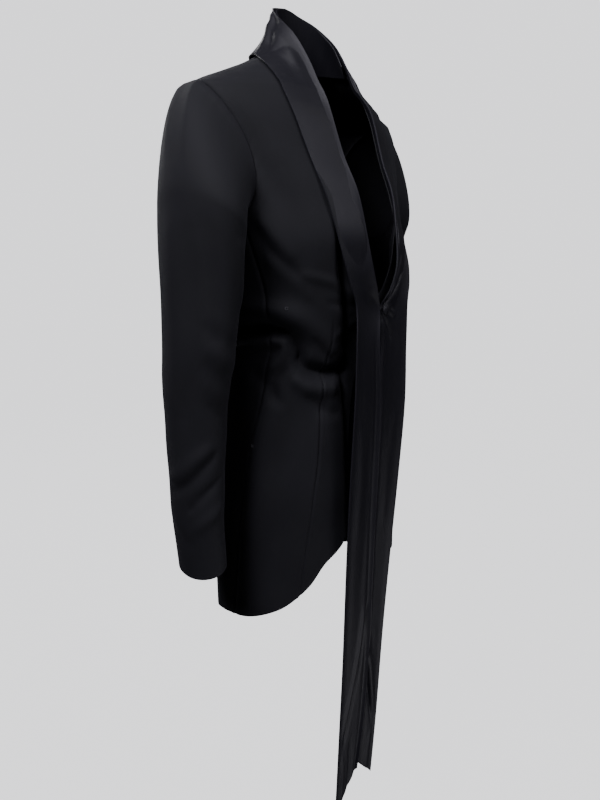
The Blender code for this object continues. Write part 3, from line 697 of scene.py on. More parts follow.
@dataclass(frozen=True)
class WoolFinish(Finish):
    """Smooth fine wool suiting: a close twill, a short nap and pressed edges."""

    constants: tuple[tuple[str, object], ...] = (
        ("Specular IOR Level", 0.16),
        ("Sheen Weight", 0.035),
        ("Sheen Roughness", 0.40),
        ("Sheen Tint", (0.62, 0.62, 0.78, 1.0)),
    )
    twill_pitch: float = 0.00085
    twill_slant: float = 0.72
    yarn_pitch: float = 0.00042

    def surface(self, maker: NodeMaker) -> dict[str, Socket]:
        """Tone, gloss and relief of the weave, the nap and the rubbed edges.

        Args:
            maker: adds the nodes.
        Returns:
            A value for each of the shader's sockets.
        """
        place, across, along, edge = maker.place()
        wander = maker.noise(place, (1.0, 1.0, 0.0), 45.0, 2.0)
        twill = (across + along * self.twill_slant + wander * 0.0012) * (FULL_TURN / self.twill_pitch)
        turns = FULL_TURN / self.yarn_pitch
        yarn = (across * turns).sine() * (along * turns).sine()
        weave = twill.sine() * 0.6 + yarn * 0.4
        fibres = maker.noise(place, (1.0, 0.12, 0.0), 2600.0, 2.0)
        slubs = maker.noise(place, (1.0, 0.05, 0.0), 900.0, 2.0)
        cloud = maker.noise(place, (1.0, 0.8, 0.0), 14.0, 4.0)
        rub = maker.ramp(edge * 60.0, ((0.0, 0.75), (0.25, 0.3), (1.0, 0.0)))
        tone = (cloud * 0.42 + fibres * 0.30 + slubs * 0.20 + weave * 0.05 + 0.02 + rub * 0.25).clamped()
        nap = maker.bump(fibres, 0.00009, 0.35, maker.bump(cloud, 0.0009, 0.18))
        return {
            "Base Color": maker.mixed(tone, self.dark, self.light),
            "Roughness": (self.roughness + fibres * 0.10 - rub * 0.10 + cloud * 0.06).clamped(),
            "Normal": maker.bump(weave, 0.00007, 0.40, nap),
        }


@dataclass(frozen=True)
class SatinFinish(Finish):
    """Heavy satin: a broad sheen that streaks along the warp, partly from its gloss and partly painted into
    its colour as a lighter tone.
    """

    constants: tuple[tuple[str, object], ...] = (
        ("Specular IOR Level", 0.22),
        ("Specular Tint", (0.92, 0.90, 1.0, 1.0)),
        ("Sheen Weight", 0.015),
        ("Sheen Roughness", 0.30),
        ("Sheen Tint", (0.70, 0.70, 0.82, 1.0)),
    )
    thread_pitch: float = 0.00022

    def surface(self, maker: NodeMaker) -> dict[str, Socket]:
        """Tone with painted sheen, gloss and relief of the threads, the streaks and the pressed edges.

        Args:
            maker: adds the nodes.
        Returns:
            A value for each of the shader's sockets.
        """
        place, across, _, edge = maker.place()
        threads = (across * (FULL_TURN / self.thread_pitch)).sine()
        floats = maker.noise(place, (1.0, 0.06, 0.0), 3200.0, 2.0)
        streak = maker.noise(place, (1.0, 0.035, 0.0), 260.0)
        ripple = maker.noise(place, (1.0, 0.35, 0.0), 55.0)
        cloud = maker.noise(place, (1.0, 0.6, 0.0), 16.0)
        press = maker.ramp(edge * 90.0, ((0.0, 0.8), (0.3, 0.25), (1.0, 0.0)))
        # painted sheen: clouds, streaks along the warp, floats and the pressed edges mix in the lighter
        # tone, which stands for the satin's sheen
        tone = (cloud * 0.40 + streak * 0.34 + floats * 0.16 + press * 0.25 + 0.02).clamped()
        lines = maker.bump(streak, 0.00014, 0.22, maker.bump(ripple, 0.0004, 0.12))
        return {
            "Base Color": maker.mixed(tone, self.dark, self.light),
            "Roughness": (self.roughness + streak * 0.12 + floats * 0.05 - 0.06 + press * 0.05).clamped(),
            "Normal": maker.bump(threads * 0.5 + floats, 0.00004, 0.30, lines),
        }


@dataclass(frozen=True)
class ThreadFinish(Finish):
    """Twisted sewing thread."""

    def surface(self, maker: NodeMaker) -> dict[str, Socket]:
        """Tone, gloss and relief of the thread's fuzz.

        Args:
            maker: adds the nodes.
        Returns:
            A value for each of the shader's sockets.
        """
        fuzz = maker.noise(maker.object_place(), (1.0, 1.0, 1.0), 2200.0)
        return {
            "Base Color": maker.mixed(fuzz, self.dark, self.light),
            "Roughness": (self.roughness + fuzz * 0.3).clamped(),
            "Normal": maker.bump(fuzz, 0.0001, 0.5),
        }


@dataclass(frozen=True)
class StageFinish(Finish):
    """Matt pale paper of the floor, with a glow that hides its far edge."""

    constants: tuple[tuple[str, object], ...] = (("Emission Strength", 1.6),)
    glow: Row = (0.97, 0.97, 1.0)
    shade: float = 0.985

    def surface(self, maker: NodeMaker) -> dict[str, Socket]:
        """Tone, gloss and glow of the paper's grain.

        Args:
            maker: adds the nodes.
        Returns:
            A value for each of the shader's sockets.
        """
        grain = maker.noise(maker.object_place(), (1.0, 1.0, 1.0), 30.0, 4.0)
        return {
            "Base Color": maker.mixed(grain, self.dark, self.light),
            "Roughness": self.roughness + grain * 0.08,
            "Emission Color": maker.mixed(grain, tuple(part * self.shade for part in self.glow), self.glow),
        }


def runs(points: Array) -> tuple[Array, Array]:
    """Length of cloth from the first column, and from the first row, to each grid point.

    Args:
        points: the grid.
    Returns:
        Lengths across and lengths up.
    """
    across = np.cumsum(np.linalg.norm(np.diff(points, axis=1), axis=-1), axis=1)
    along = np.cumsum(np.linalg.norm(np.diff(points, axis=0), axis=-1), axis=0)
    return np.pad(across, ((0, 0), (1, 0))), np.pad(along, ((1, 0), (0, 0)))


def edge_distance(points: Array, edges: Edges = (True, True, True, True)) -> Array:
    """Distance of each grid point from the nearest of the edges that count, in metres.

    Args:
        points: the grid.
        edges: whether the first column, last column, first row and last row count.
    Returns:
        One distance for each point.
    """
    widths, lengths = runs(points)
    far = np.full(widths.shape, 1.0)
    for used, distance in zip(edges, (widths, widths[:, -1:] - widths, lengths, lengths[-1:] - lengths)):
        far = np.minimum(far, distance) if used else far
    return far


def grid_faces(rows: int, columns: int, flip: bool = False, closed: bool = False) -> Array:
    """The quads of a grid of points.

    Args:
        rows: number of rows.
        columns: points in a row.
        flip: whether the faces are turned over.
        closed: whether each row is a ring.
    Returns:
        Four point numbers for each face.
    """
    first = np.arange(rows * columns).reshape(rows, columns)
    if closed:
        first = np.concatenate([first, first[:, :1]], axis=1)
    corners = [first[:-1, :-1], first[:-1, 1:], first[1:, 1:], first[1:, :-1]]
    return np.stack(corners[::-1] if flip else corners, axis=-1).reshape(-1, 4)


def smooth_mesh(name: str, vertices: Array, faces: list[tuple[int, ...]]) -> bpy.types.Mesh:
    """A mesh with smooth faces.

    Args:
        name: its name.
        vertices: their places.
        faces: vertex numbers of each face.
    Returns:
        The mesh.
    """
    mesh = bpy.data.meshes.new(name)
    mesh.from_pydata(np.reshape(vertices, (-1, 3)).tolist(), [], faces)
    mesh.polygons.foreach_set("use_smooth", np.ones(len(faces), bool))
    return mesh


def mark_cloth(mesh: bpy.types.Mesh, places: Array) -> None:
    """Give each vertex its place on the cloth, which the finishes read."""
    layer = mesh.attributes.new("cloth", "FLOAT_VECTOR", "POINT")
    layer.data.foreach_set("vector", np.reshape(places, -1).astype(np.float32))


def linked(name: str, data: bpy.types.ID) -> bpy.types.Object:
    """A new object in the scene.

    Args:
        name: its name.
        data: its mesh, lamp or camera.
    Returns:
        The object.
    """
    thing = bpy.data.objects.new(name, data)
    bpy.context.scene.collection.objects.link(thing)
    return thing


def dressed(mesh: bpy.types.Mesh, finish: bpy.types.Material, slot: str, *nodes: str) -> bpy.types.Object:
    """A piece on the root body, with its finish; the solids that it replaces are hidden.

    Args:
        mesh: its mesh.
        finish: its material.
        slot: its slot; not used.
        nodes: solids that it replaces.
    Returns:
        The piece.
    """
    mesh.materials.append(finish)
    thing = linked(mesh.name, mesh)
    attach(thing, "root")
    if nodes:
        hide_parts(*nodes)
    return thing


class Fabric(Enum):
    """What a piece of cloth is called in its name, and a slot word that is handed on but not used."""

    CLOTH = "wool"
    SATIN = "satin"


@dataclass
class Cloth:
    """One piece of cloth as a fine grid, thickened into a shell with turned edges.

    node is the solid that it replaces, flip turns its faces over, edge is each point's
    distance from the piece's edge, and flat and flat_area are its size as a cut sheet.
    """

    node: str
    fabric: Fabric
    points: Array
    finish: bpy.types.Material
    flip: bool
    edge: Array
    flat: tuple[float, float]
    flat_area: float
    wall: float = 0.0014
    rim: float = 0.0005
    rim_segments: int = 2
    rim_angle: float = math.radians(60.0)
    shoulder: LeftShoulder = LeftShoulder()

    def grid_mesh(self) -> bpy.types.Mesh:
        """The grid as a mesh that carries its places on the cloth.

        Returns:
            The mesh.
        """
        points = self.shoulder.posed(self.points)
        faces = grid_faces(*points.shape[:2], self.flip).tolist()
        mesh = smooth_mesh(f"{self.node}_{self.fabric.name.lower()}", points, faces)
        mesh.validate()
        widths, lengths = runs(points)
        mark_cloth(mesh, np.stack([widths - widths[:, -1:] / 2, lengths, self.edge], axis=-1))
        quads = np.cross(points[1:, 1:] - points[:-1, :-1], points[1:, :-1] - points[:-1, 1:])
        LOG.info("%s: %.3f x %.3f m, area %.4f m2, %d faces", mesh.name, widths[:, -1].max(),
                 lengths[-1].max(), np.linalg.norm(quads, axis=-1).sum() / 2, len(faces))
        return mesh

    def build(self) -> bpy.types.Object:
        """Returns:
            The piece.
        """
        thing = dressed(self.grid_mesh(), self.finish, self.fabric.value, self.node)
        wall = {"thickness": self.wall, "offset": 1.0, "use_quality_normals": True}
        rim = {"width": self.rim, "segments": self.rim_segments, "limit_method": "ANGLE",
               "angle_limit": self.rim_angle, "use_clamp_overlap": True}
        for name, kind, settings in (("wall", "SOLIDIFY", wall), ("turned_edge", "BEVEL", rim)):
            modifier = thing.modifiers.new(name, kind)
            for key, value in settings.items():
                setattr(modifier, key, value)
        return thing


HEM = Table(in_metres(
    # angle, height
    (14, -634), (17.5, -652), (21.5, -662), (28, -676), (38, -710), (56, -745), (76, -763), (97, -774),
    (130, -788), (180, -796),
    plain=0,
))


@dataclass(frozen=True)
class SideSeam:
    """A seam from the hem up to the armhole."""

    line: Table
    armhole_turn: float

    def places(self, form: BodyForm, up: Array) -> tuple[Array, Array]:
        """Angles and heights at parts of the way up.

        Args:
            form: the body's form.
            up: parts of the way up.
        Returns:
            Angles and heights.
        """
        top_angle, top_height = form.armhole(self.armhole_turn)
        height = between(HEM.read(1, self.line.rows[0][1]), top_height, up)
        return self.line.read(1, height) + (top_angle - self.line.read(1, top_height)) * up ** 3, height

    def with_armhole(self, form: BodyForm, up: Array, on: Array, top_turn: float) -> tuple[Array, Array]:
        """The seam and then the armhole up to the shoulder."""
        seam, armhole = self.places(form, up), form.armhole(between(self.armhole_turn, top_turn, on))
        return np.concatenate([seam[0], armhole[0]]), np.concatenate([seam[1], armhole[1]])


# rows of height and angle
FRONT_SEAM = SideSeam(Table(in_metres(
    (-800, 90), (-640, 82.5), (-510, 74), (-434, 66.5), (-394, 64), (-365, 61.5), (-300, 62.5),
    (-200, 70),
    plain=1,
)), 147.0)
BACK_SEAM = SideSeam(Table(in_metres(
    (-800, 128), (-500, 126), (-365, 122), (-280, 119), (-180, 116),
    plain=1,
)), 222.0)


@dataclass
class Panel:
    """What the body panels share: their rulers, seams and dips at the seams."""

    form: BodyForm
    side: Side
    finish: bpy.types.Material
    half_gap: float = -0.00010
    shoulder_gap: float = -0.0002
    seam_rows: int = 128
    armhole_rows: int = 46
    columns: int = 96
    seam_dip: float = 0.0014
    seam_breadth: float = 0.0024
    gathers: Gathers = Gathers(0.00028, 0.010, 0.0015, (610.0, 173.0, 1.3, 377.0, 0.4, 0.6))
    up_steps: Row = (0.0012, 0.0028, 0.0055, 0.010)
    flat: tuple[float, float] = (0.26, 0.83)
    flat_area: float = 0.120

    def rulers(self) -> tuple[Array, Array, Array, Array]:
        """Parts up the seam, parts up the armhole, and both for every row.

        Returns:
            Four lists of parts.
        """
        up = edge_ruler(self.seam_rows, self.up_steps)
        on = np.linspace(0, 1, self.armhole_rows + 1)[1:]
        return up, on, np.concatenate([up, np.ones(len(on))]), np.concatenate([np.zeros(len(up)), on])

    def pair(self, angle: Array, height: Array) -> Array:
        """Angles and heights joined into one array."""
        return np.stack(np.broadcast_arrays(angle, height), axis=-1)

    def set_aside(self, angle: Array, height: Array, gap: float) -> Array:
        """Angles and heights, moved along the ring by a gap."""
        return self.pair(self.form.turned(angle, height, self.side, gap), height)

    def filled(self, left: Array, right: Array, top: Array, across: Array, up: Array,
               top_pull: Array) -> Array:
        """A grid of angle and height between the hem and three edges, which are made to meet.

        Args:
            left: places up the first edge.
            right: places up the last edge.
            top: places along the top.
            across: parts of the way from the first edge to the last.
            up: parts of the way up.
            top_pull: how far each row follows the top's curve.
        Returns:
            Angles and heights.
        """
        hem_angle = between(left[0, 0], right[0, 0], across)
        bottom = self.pair(hem_angle, HEM.read(1, hem_angle))
        left[0], right[0], left[-1], right[-1] = bottom[0], bottom[-1], top[0], top[-1]
        across = across[None, :, None]
        low = bottom[None] - between(bottom[0], bottom[-1], across)
        high = top[None] - between(top[0], top[-1], across)
        inner = between(left[:, None], right[:, None], across)
        return inner + low * (1 - up)[:, None, None] + high * top_pull[:, None, None]

    def relief(self, grid: Array, sewn: Edges) -> tuple[Array, Array]:
        """Dips and small uneven gathers at the sewn edges, and the distance from every edge.

        Args:
            grid: angles and heights.
            sewn: which edges are sewn.
        Returns:
            Heights of the relief, and the distances.
        """
        bare = self.form.bare_point(grid[..., 0], grid[..., 1], self.side)
        away = edge_distance(bare, sewn)
        run = grid[..., 1] + grid[..., 0] * self.form.fold_scale
        dip = self.seam_dip * bell(away, self.seam_breadth)
        return self.gathers.heights(away, run) - dip, edge_distance(bare)

    def made(self, word: str, flipped: Side, grid: Array, lift: Array,
             edge: Array) -> list[bpy.types.Object]:
        """Make the panel's cloth, lifted off the form by its relief.

        Args:
            word: the panel's word in its name.
            flipped: side on which the faces are turned over.
            grid: angles and heights.
            lift: heights off the form.
            edge: distances from the panel's edge.
        Returns:
            The one piece made.
        """
        node = f"{self.side.word}_{word}"
        points = self.form.point(grid[..., 0], grid[..., 1], self.side, lift)
        return [Cloth(node, Fabric.CLOTH, points, self.finish, self.side is flipped, edge, self.flat,
                      self.flat_area).build()]


@dataclass
class Front(Panel):
    """A front, with its dart from waist to hem and the opening of the pocket in its side."""

    edge_line: Table = Table(in_metres(
        # height, distance from the centre
        (-634, 40.5), (-520, 33), (-430, 24), (-365, 12), (-318, -2), (-290, 15), (-250, 35), (-177, 45),
        (-127, 50), (-63, 57), (-37, 59), (-11, 63), (-3, 69), (4, 81),
    ))
    join_height: float = -0.190
    lap_sink: float = 0.0036
    lap_angle: float = 14.0
    lap_height: float = 0.055
    closure_height: float = -0.318
    tuck_depth: float = 0.0070
    tuck_run: float = 3.0
    tuck_top: float = -0.190
    tuck_fade: float = 0.05
    tuck_line: Table = Table(in_metres(
        # height, angle
        (-650, 15.5), (-500, 16.5), (-410, 18.5), (-370, 20), (-325, 21.5), (-290, 24), (-250, 25.5),
        (-190, 25.5),
        plain=1,
    ))
    dart: Crease = crease_rows((
        1.7, -1.8, 27.5, -332, 27.5, -360, 30, -414, 32.5, -520, 35, -562, 37.5, -610, 39.5, -646,
        42.5, -698, 44, -735,
    ))[0]
    dart_side_angle: float = 1.3
    dart_side_share: float = 0.35
    lip_rise: float = 0.0007
    lip_place: float = 0.0030
    lip_breadth: float = 0.0022
    lip_low: float = -0.505
    lip_high: float = -0.400
    lip_fade: float = 0.012

    def grid(self) -> Array:
        """Angles and heights from side seam to front edge.

        Returns:
            The grid.
        """
        up, on, lower, upper = self.rulers()
        across = edge_ruler(self.columns)
        angle, height = FRONT_SEAM.with_armhole(self.form, up, on, 0.0)
        low, high = self.edge_line.rows[0][0], self.edge_line.rows[-1][0]
        edge_height = between(low, self.join_height, lower) + (high - self.join_height) * upper
        edge_angle = self.form.angle_at(self.edge_line.read(1, edge_height), edge_height)
        ridge = between(height[-1], high, across)
        ruler = np.linspace(0, 1, len(lower))
        return self.filled(
            self.set_aside(angle, height, -self.half_gap), self.pair(edge_angle, edge_height),
            self.set_aside(90.0, ridge, -self.shoulder_gap), across, ruler, ruler,
        )

    def build(self) -> list[bpy.types.Object]:
        """Make the front.

        Returns:
            The pieces made.
        """
        grid = self.grid()
        angle, height = grid[..., 0], grid[..., 1]
        lift, edge = self.relief(grid, (True, False, False, True))
        scale = self.form.fold_scale
        dart, before, after = (
            self.dart.heights(angle + turn, height, scale, 0.0)
            for turn in (0.0, -self.dart_side_angle, self.dart_side_angle)
        )
        near = bell(angle, self.lap_angle) * bell(height - self.closure_height, self.lap_height)
        sink = self.side.pick(0.0, self.lap_sink) * near
        tuck = self.tuck_depth * eased((self.tuck_line.read(1, height) - angle) / self.tuck_run)
        tuck = tuck * eased((self.tuck_top - height) / self.tuck_fade)
        flat = np.stack([angle * scale, height, np.zeros(angle.shape)], axis=-1)
        from_seam = edge_distance(flat, (True, False, False, False))
        lip = self.lip_rise * bell(from_seam - self.lip_place, self.lip_breadth)
        for above_end in (height - self.lip_low, self.lip_high - height):
            lip = lip * eased(above_end / self.lip_fade)
        lift = lift + dart - self.dart_side_share * (before + after) - sink - tuck + lip
        return self.made("front", Side.LEFT, grid, lift, edge)


@dataclass
class SidePanel(Panel):
    """The panel under the arm."""

    columns: int = 34
    across_steps: Row = (0.008, 0.018, 0.032, 0.050)
    flat: tuple[float, float] = (0.13, 0.61)
    flat_area: float = 0.062

    def build(self) -> list[bpy.types.Object]:
        """Make the side panel.

        Returns:
            The pieces made.
        """
        up = self.rulers()[0]
        across = edge_ruler(self.columns, self.across_steps)
        ahead = self.set_aside(*FRONT_SEAM.places(self.form, up), self.half_gap)
        behind = self.set_aside(*BACK_SEAM.places(self.form, up), -self.half_gap)
        turn = between(FRONT_SEAM.armhole_turn, BACK_SEAM.armhole_turn, across)
        top = self.pair(*self.form.armhole(turn))
        top[0], top[-1] = ahead[-1], behind[-1]
        grid = self.filled(ahead, behind, top, across, up, up)
        return self.made("side", Side.RIGHT, grid, *self.relief(grid, (True, True, False, True)))


@dataclass
class Back(Panel):
    """Half of the back, joined at the centre."""

    columns: int = 84
    join_part: float = 0.750
    neck_part: float = 0.58
    neck_height: float = 0.014
    side_neck_height: float = 0.004
    flat: tuple[float, float] = (0.23, 0.91)
    flat_area: float = 0.130

    def build(self) -> list[bpy.types.Object]:
        """Make the half back, from side seam and armhole to the centre seam.

        Returns:
            The pieces made.
        """
        up, on, lower, upper = self.rulers()
        across = edge_ruler(self.columns)
        angle, height = BACK_SEAM.with_armhole(self.form, up, on, 360.0)
        part = self.join_part * lower + (1 - self.join_part) * upper
        inner = self.set_aside(180.0, between(HEM.rows[-1][1], self.neck_height, part), -self.half_gap)
        neck = (across - self.neck_part) / (1 - self.neck_part)
        ridge_height = between(height[-1], self.side_neck_height, np.minimum(across / self.neck_part, 1))
        ridge = self.set_aside(90.0, ridge_height, self.shoulder_gap)
        round_neck = self.pair(
            between(90.0, inner[-1, 0], neck), between(self.side_neck_height, self.neck_height, neck)
        )
        top = np.where(neck[:, None] > 0, round_neck, ridge)
        outer = self.set_aside(angle, height, self.half_gap)
        grid = self.filled(outer, inner, top, across, np.linspace(0, 1, len(lower)), upper ** 2)
        return self.made("back", Side.RIGHT, grid, *self.relief(grid, (True, True, False, True)))


# breadth, rise, then turn round the sleeve (0 outside, 90 in front) and height of each place
SLEEVE_CREASES = crease_rows(
    # forearm
    (8.5, -3.6, -26, -548, 2, -540, 30, -527, 63, -503, 84, -488),
    (10, 3, -22, -530, 10, -520, 44, -497, 70, -478), (7.5, -3, 24, -566, 50, -547, 97, -521),
    (9, 2.4, 30, -590, 66, -575, 104, -560), (11, -1.8, -40, -590, -10, -604, 30, -610),
    # front of the elbow
    (12, -1.4, 44, -330, 80, -345, 120, -352), (12, 1.2, 52, -352, 84, -368, 124, -376),
    (13, -1.5, 46, -372, 84, -390, 126, -396), (12, 1.2, 54, -398, 88, -414, 122, -420),
    (11, -1.4, 60, -424, 90, -440, 118, -452),
    # long soft hang of the upper arm and the outside
    (12, -2.2, 40, -215, 52, -260, 66, -310, 70, -350), (15, 1.6, -6, -215, -2, -280, 6, -360, 4, -440),
    (13, -1.8, 20, -230, 26, -300, 30, -380, 22, -450), (10, 2.6, 100, -225, 108, -262, 120, -300),
    # back of the arm
    (11, -2.6, -60, -350, -84, -372, -112, -380), (12, 2.4, -58, -392, -84, -410, -116, -404),
    (10, -2.2, -66, -440, -92, -452, -120, -440), (13, -2, -70, -230, -84, -290, -82, -340),
)
# height, middle_x, middle_y, half_across, half_depth, rise_of_outer_side
RIGHT_SLEEVE = Table(in_metres(
    (-205, 209, -26.5, 36, 69.5, 28), (-255, 209, -22.5, 36, 68, 16), (-310, 210.5, -19, 35, 61.5, 8),
    (-365, 212.5, -14.4, 34, 58, 3), (-430, 215, -7.6, 32, 50.5, 0), (-500, 218, -6.4, 30, 47.5, 0),
    (-570, 220, -8.6, 28, 44, -3), (-655, 222, -17, 25, 40, -9),
))
LEFT_SLEEVE = Table(in_metres(
    (-205, 208.1, 18.7, 36, 63, 28), (-255, 207.2, 38.4, 36, 61, 16), (-310, 207.8, 54.9, 35, 57, 8),
    (-365, 209.5, 61, 34, 54, 3), (-430, 212, 55.5, 32, 49.5, 0), (-500, 215, 48.5, 30, 46.5, 0),
    (-570, 217, 38.5, 28, 43, -1), (-655, 219, 25, 25, 39, -2),
))


@dataclass
class Sleeve:
    """A two-piece sleeve, from the armhole to the open cuff."""

    form: BodyForm
    side: Side
    finish: bpy.types.Material
    wall: float = 0.0014
    front_turn: float = 128.625
    back_turn: float = 239.25
    seam_half_turn: float = -0.15
    start_gap: float = -0.0012
    leave: Row = (0.97, 0.0, -0.24)
    entry_step: float = 0.01
    head_power: float = 1.35
    head_reach: float = 0.65
    least_reach: float = 0.035
    head_drop: float = 0.70
    gathers: Gathers = Gathers(0.0007, 0.014, 0.003, (520.0, 143.0, 0.8, 301.0, 0.0, 0.5))
    gather_radius: float = 0.09
    swell_rise: float = 0.0016
    swell_place: float = 0.010
    swell_breadth: float = 0.008
    tube_radius: float = 0.045
    wave_height: float = 0.03
    fold_top: float = -0.205
    fold_fade: float = 0.03
    seam_dip: float = 0.0008
    seam_breadth: float = 0.0022
    head_rows: int = 46
    tube_rows: int = 130
    tube_steps: Row = (0.001, 0.0025, 0.005, 0.009)
    across_steps: Row = (0.004, 0.009, 0.016, 0.026)
    undulation: Undulation = Undulation(0.0006)
    pieces: tuple[tuple[str, int, tuple[float, float], float], ...] = (
        # word, columns, flat, flat_area
        ("top", 112, (0.35, 0.65), 0.115),
        ("under", 50, (0.15, 0.50), 0.042),
    )

    @property
    def sections(self) -> Table:
        """The level rings of this sleeve."""
        return self.side.pick(RIGHT_SLEEVE, LEFT_SLEEVE)

    def ring(self, turn: Array, height: Array) -> Array:
        """Points of the tube with its creases.

        Args:
            turn: degrees.
            height: heights, metres.
        Returns:
            The points.
        """
        turn, height = np.broadcast_arrays(np.asarray(turn, float), np.asarray(height, float))
        middle_x, middle_y, across, depth, tilt = self.sections.columns(height)
        near = (turn + 180.0) % 360.0 - 180.0
        seed = self.side.pick(1.1, 3.7)
        rise = lifted(SLEEVE_CREASES, near, height, math.radians(1.0) * self.tube_radius, seed)
        rise = rise * eased((self.fold_top - height) / self.fold_fade)
        cosine, sine = np.cos(np.radians(turn)), np.sin(np.radians(turn))
        rise += self.undulation.heights(self.tube_radius * sine, height + self.wave_height * cosine, seed)
        x = middle_x + (across + rise) * cosine
        y = middle_y - (depth + rise) * sine
        return np.stack([x * self.side.value, y, height + tilt * cosine], axis=-1)

    def start(self, turn: Array) -> tuple[Array, Array]:
        """First ring, set inside the armhole, and the way the cloth leaves it.

        Args:
            turn: degrees.
        Returns:
            The points and the directions.
        """
        form, side = self.form, self.side
        angle, height = form.armhole(turn)
        edge = form.bare_point(angle, height, side)
        middle = form.bare_point(90.0, form.armhole_middle, side)
        along = unit(form.bare_point(*form.armhole(turn + 1.0), side) - edge)
        into = np.cross(form.normal(angle, height, side), along)
        into *= np.sign(dot(into, middle - edge))
        leave = np.broadcast_to(np.array(self.leave) * (side.value, 1, 1), edge.shape)
        axis = unit(np.cross(leave, along))
        axis *= np.sign(dot(axis, edge - middle))
        square = np.maximum(-dot(axis, into), 0.0)
        return edge + into * (self.start_gap + self.wall * square), leave

    def grid(self, turn: Array) -> Array:
        """Points of one piece of the sleeve at the given turns.

        Args:
            turn: degrees.
        Returns:
            The grid.
        """
        start, leave = self.start(turn)
        top, cuff = self.sections.rows[0][0], self.sections.rows[-1][0]
        entry = self.ring(turn, top)
        down = unit(self.ring(turn, top - self.entry_step) - entry)
        span = np.linalg.norm(entry - start, axis=-1, keepdims=True)
        reach = np.maximum(span * self.head_reach, self.least_reach)
        part = (np.linspace(0, 1, self.head_rows, endpoint=False) ** self.head_power)[:, None, None]
        head = cubic(part, start, leave * reach, entry, down * span * self.head_drop)
        way = np.radians(turn)[:, None]
        outward = np.concatenate([np.cos(way) * self.side.value, -np.sin(way), 0 * way], axis=-1)
        distance = part * span
        swell = self.swell_rise * bell(distance - self.swell_place, self.swell_breadth)
        swell = swell + self.gathers.heights(distance, way * self.gather_radius)
        head += outward * swell * np.clip(np.cos(way), 0, 1)
        heights = between(top, cuff, edge_ruler(self.tube_rows, self.tube_steps))
        return np.concatenate([head, self.ring(turn, heights[:, None])])

    def build(self) -> list[bpy.types.Object]:
        """Make the top sleeve and the under sleeve.

        Returns:
            The pieces made.
        """
        gap, done = self.seam_half_turn, []
        top_ends = self.back_turn - 360.0 + gap, self.front_turn - gap
        under_ends = self.front_turn + gap, self.back_turn - gap
        for (word, columns, flat, area), (first, last) in zip(self.pieces, (top_ends, under_ends)):
            points = self.grid(between(first, last, edge_ruler(columns, self.across_steps)))
            edge, sewn = edge_distance(points), edge_distance(points, (True, True, False, False))
            outward = unit((points - points.mean(axis=1, keepdims=True)) * (1, 1, 0))
            points = points - outward * (self.seam_dip * bell(sewn, self.seam_breadth))[..., None]
            done.append(Cloth(f"{self.side.word}_{word}_sleeve", Fabric.CLOTH, points, self.finish,
                              self.side is Side.RIGHT, edge, flat, area, self.wall).build())
        return done


# roll_side, roll_y, roll_z, free_side, free_y, free_z, bow
COLLAR_SECTIONS = in_metres(
    (0, 42, 78, 0, 73.5, 6.5, 4), (24, 35.5, 72, 40, 64.5, 5.5, 4), (42, 19, 62, 69.5, 40, 3.5, 4),
    (50, 3, 48.5, 88.5, 12, -0.5, 4),
)
RIGHT_BAND = in_metres(
    (53, -15, 34, 100, -11, -9, 5), (52.5, -32, 17, 105, -30, -26, 6), (50, -51, -11, 106.5, -46, -46, 7),
    (50, -66.5, -37, 106, -59, -65, 7), (49, -83, -64, 101, -75, -93, 6.5),
    (45, -106, -127, 95, -96, -135, 6), (42, -130, -177, 90, -118, -176, 5),
    (33, -144, -250, 79, -137, -248, 4.5), (18, -143, -290, 69, -142, -285, 4.5),
    (6, -138, -318, 59, -143, -312, 4.5), (11, -144, -365, 61, -147, -360, 4.5),
    (6, -145, -450, 60, -145, -450, 4), (5, -143, -560, 63, -143, -560, 4),
    (7, -141, -690, 66, -141, -690, 4), (8, -139, -830, 68, -138, -830, 4),
    (13, -137, -950, 69, -134, -960, 3.5), (24, -135, -1050, 69, -130, -1115, 3),
)
LEFT_BAND = in_metres(
    (53, -15, 30, 99, -11, -9, 5), (53, -33, 4, 103, -30, -26, 6), (51, -50, -26, 105, -46, -46, 7),
    (50, -68, -45, 105, -59, -65, 7), (49, -84, -68, 101, -75, -93, 6.5),
    (43, -106, -127, 93, -96, -135, 6), (36, -129, -177, 85, -118, -176, 5),
    (26, -142, -250, 71, -136, -248, 4.5), (14, -140, -290, 62, -140, -285, 4.5),
    (1, -133, -318, 54, -141, -314, 4.5), (3, -133, -365, 55, -141, -363, 4.5),
    (1, -133, -450, 57, -141, -450, 4), (-2, -131, -560, 52, -139, -560, 4),
    (-9, -129, -690, 43, -137, -690, 4), (-17, -127, -830, 34, -134, -830, 3.5),
    (-24, -124, -950, 28, -130, -970, 3), (-29, -121, -1035, 22, -126, -1095, 3),
)
# breadth, rise, then part of the way from roll edge to free edge and height of each place
LEFT_BAND_CREASES = crease_rows(
    # pulls at the closure
    (4.2, 3.2, 0.02, -316, 0.3, -300, 0.64, -272), (4, 2.8, 0.02, -323, 0.26, -336, 0.5, -362),
    (4, -3.2, 0.03, -320, 0.34, -320, 0.6, -330), (4.4, -2.2, 0.06, -306, 0.2, -284, 0.34, -250),
    (4, -2, 0.06, -335, 0.14, -360, 0.2, -400),
    # where the left band turns in behind the edge of the right one
    (5, -7.5, 0.09, -330, 0.12, -450, 0.17, -560, 0.24, -690, 0.31, -830, 0.36, -950, 0.36, -1040),
)
BAND_CREASES = crease_rows(
    # a slanting crease low down and soft ones between
    (3.6, 3.4, 0.12, -760, 0.26, -830, 0.48, -900, 0.78, -985),
    (5.2, -2.6, 0.24, -760, 0.38, -830, 0.6, -900, 0.88, -975),
    (7, -1, 0.7, -470, 0.58, -540, 0.62, -640), (7, 0.9, 0.3, -500, 0.24, -600, 0.34, -700),
    (4.8, 2.2, 0.5, -990, 0.42, -1040, 0.46, -1090), (5, -2, 0.8, -1010, 0.74, -1060, 0.78, -1105),
    # the collar's roll
    (7, -2.2, 0.34, 46, 0.3, 20, 0.34, -20), (9, 1.2, 0.6, 20, 0.56, -10, 0.58, -40),
)


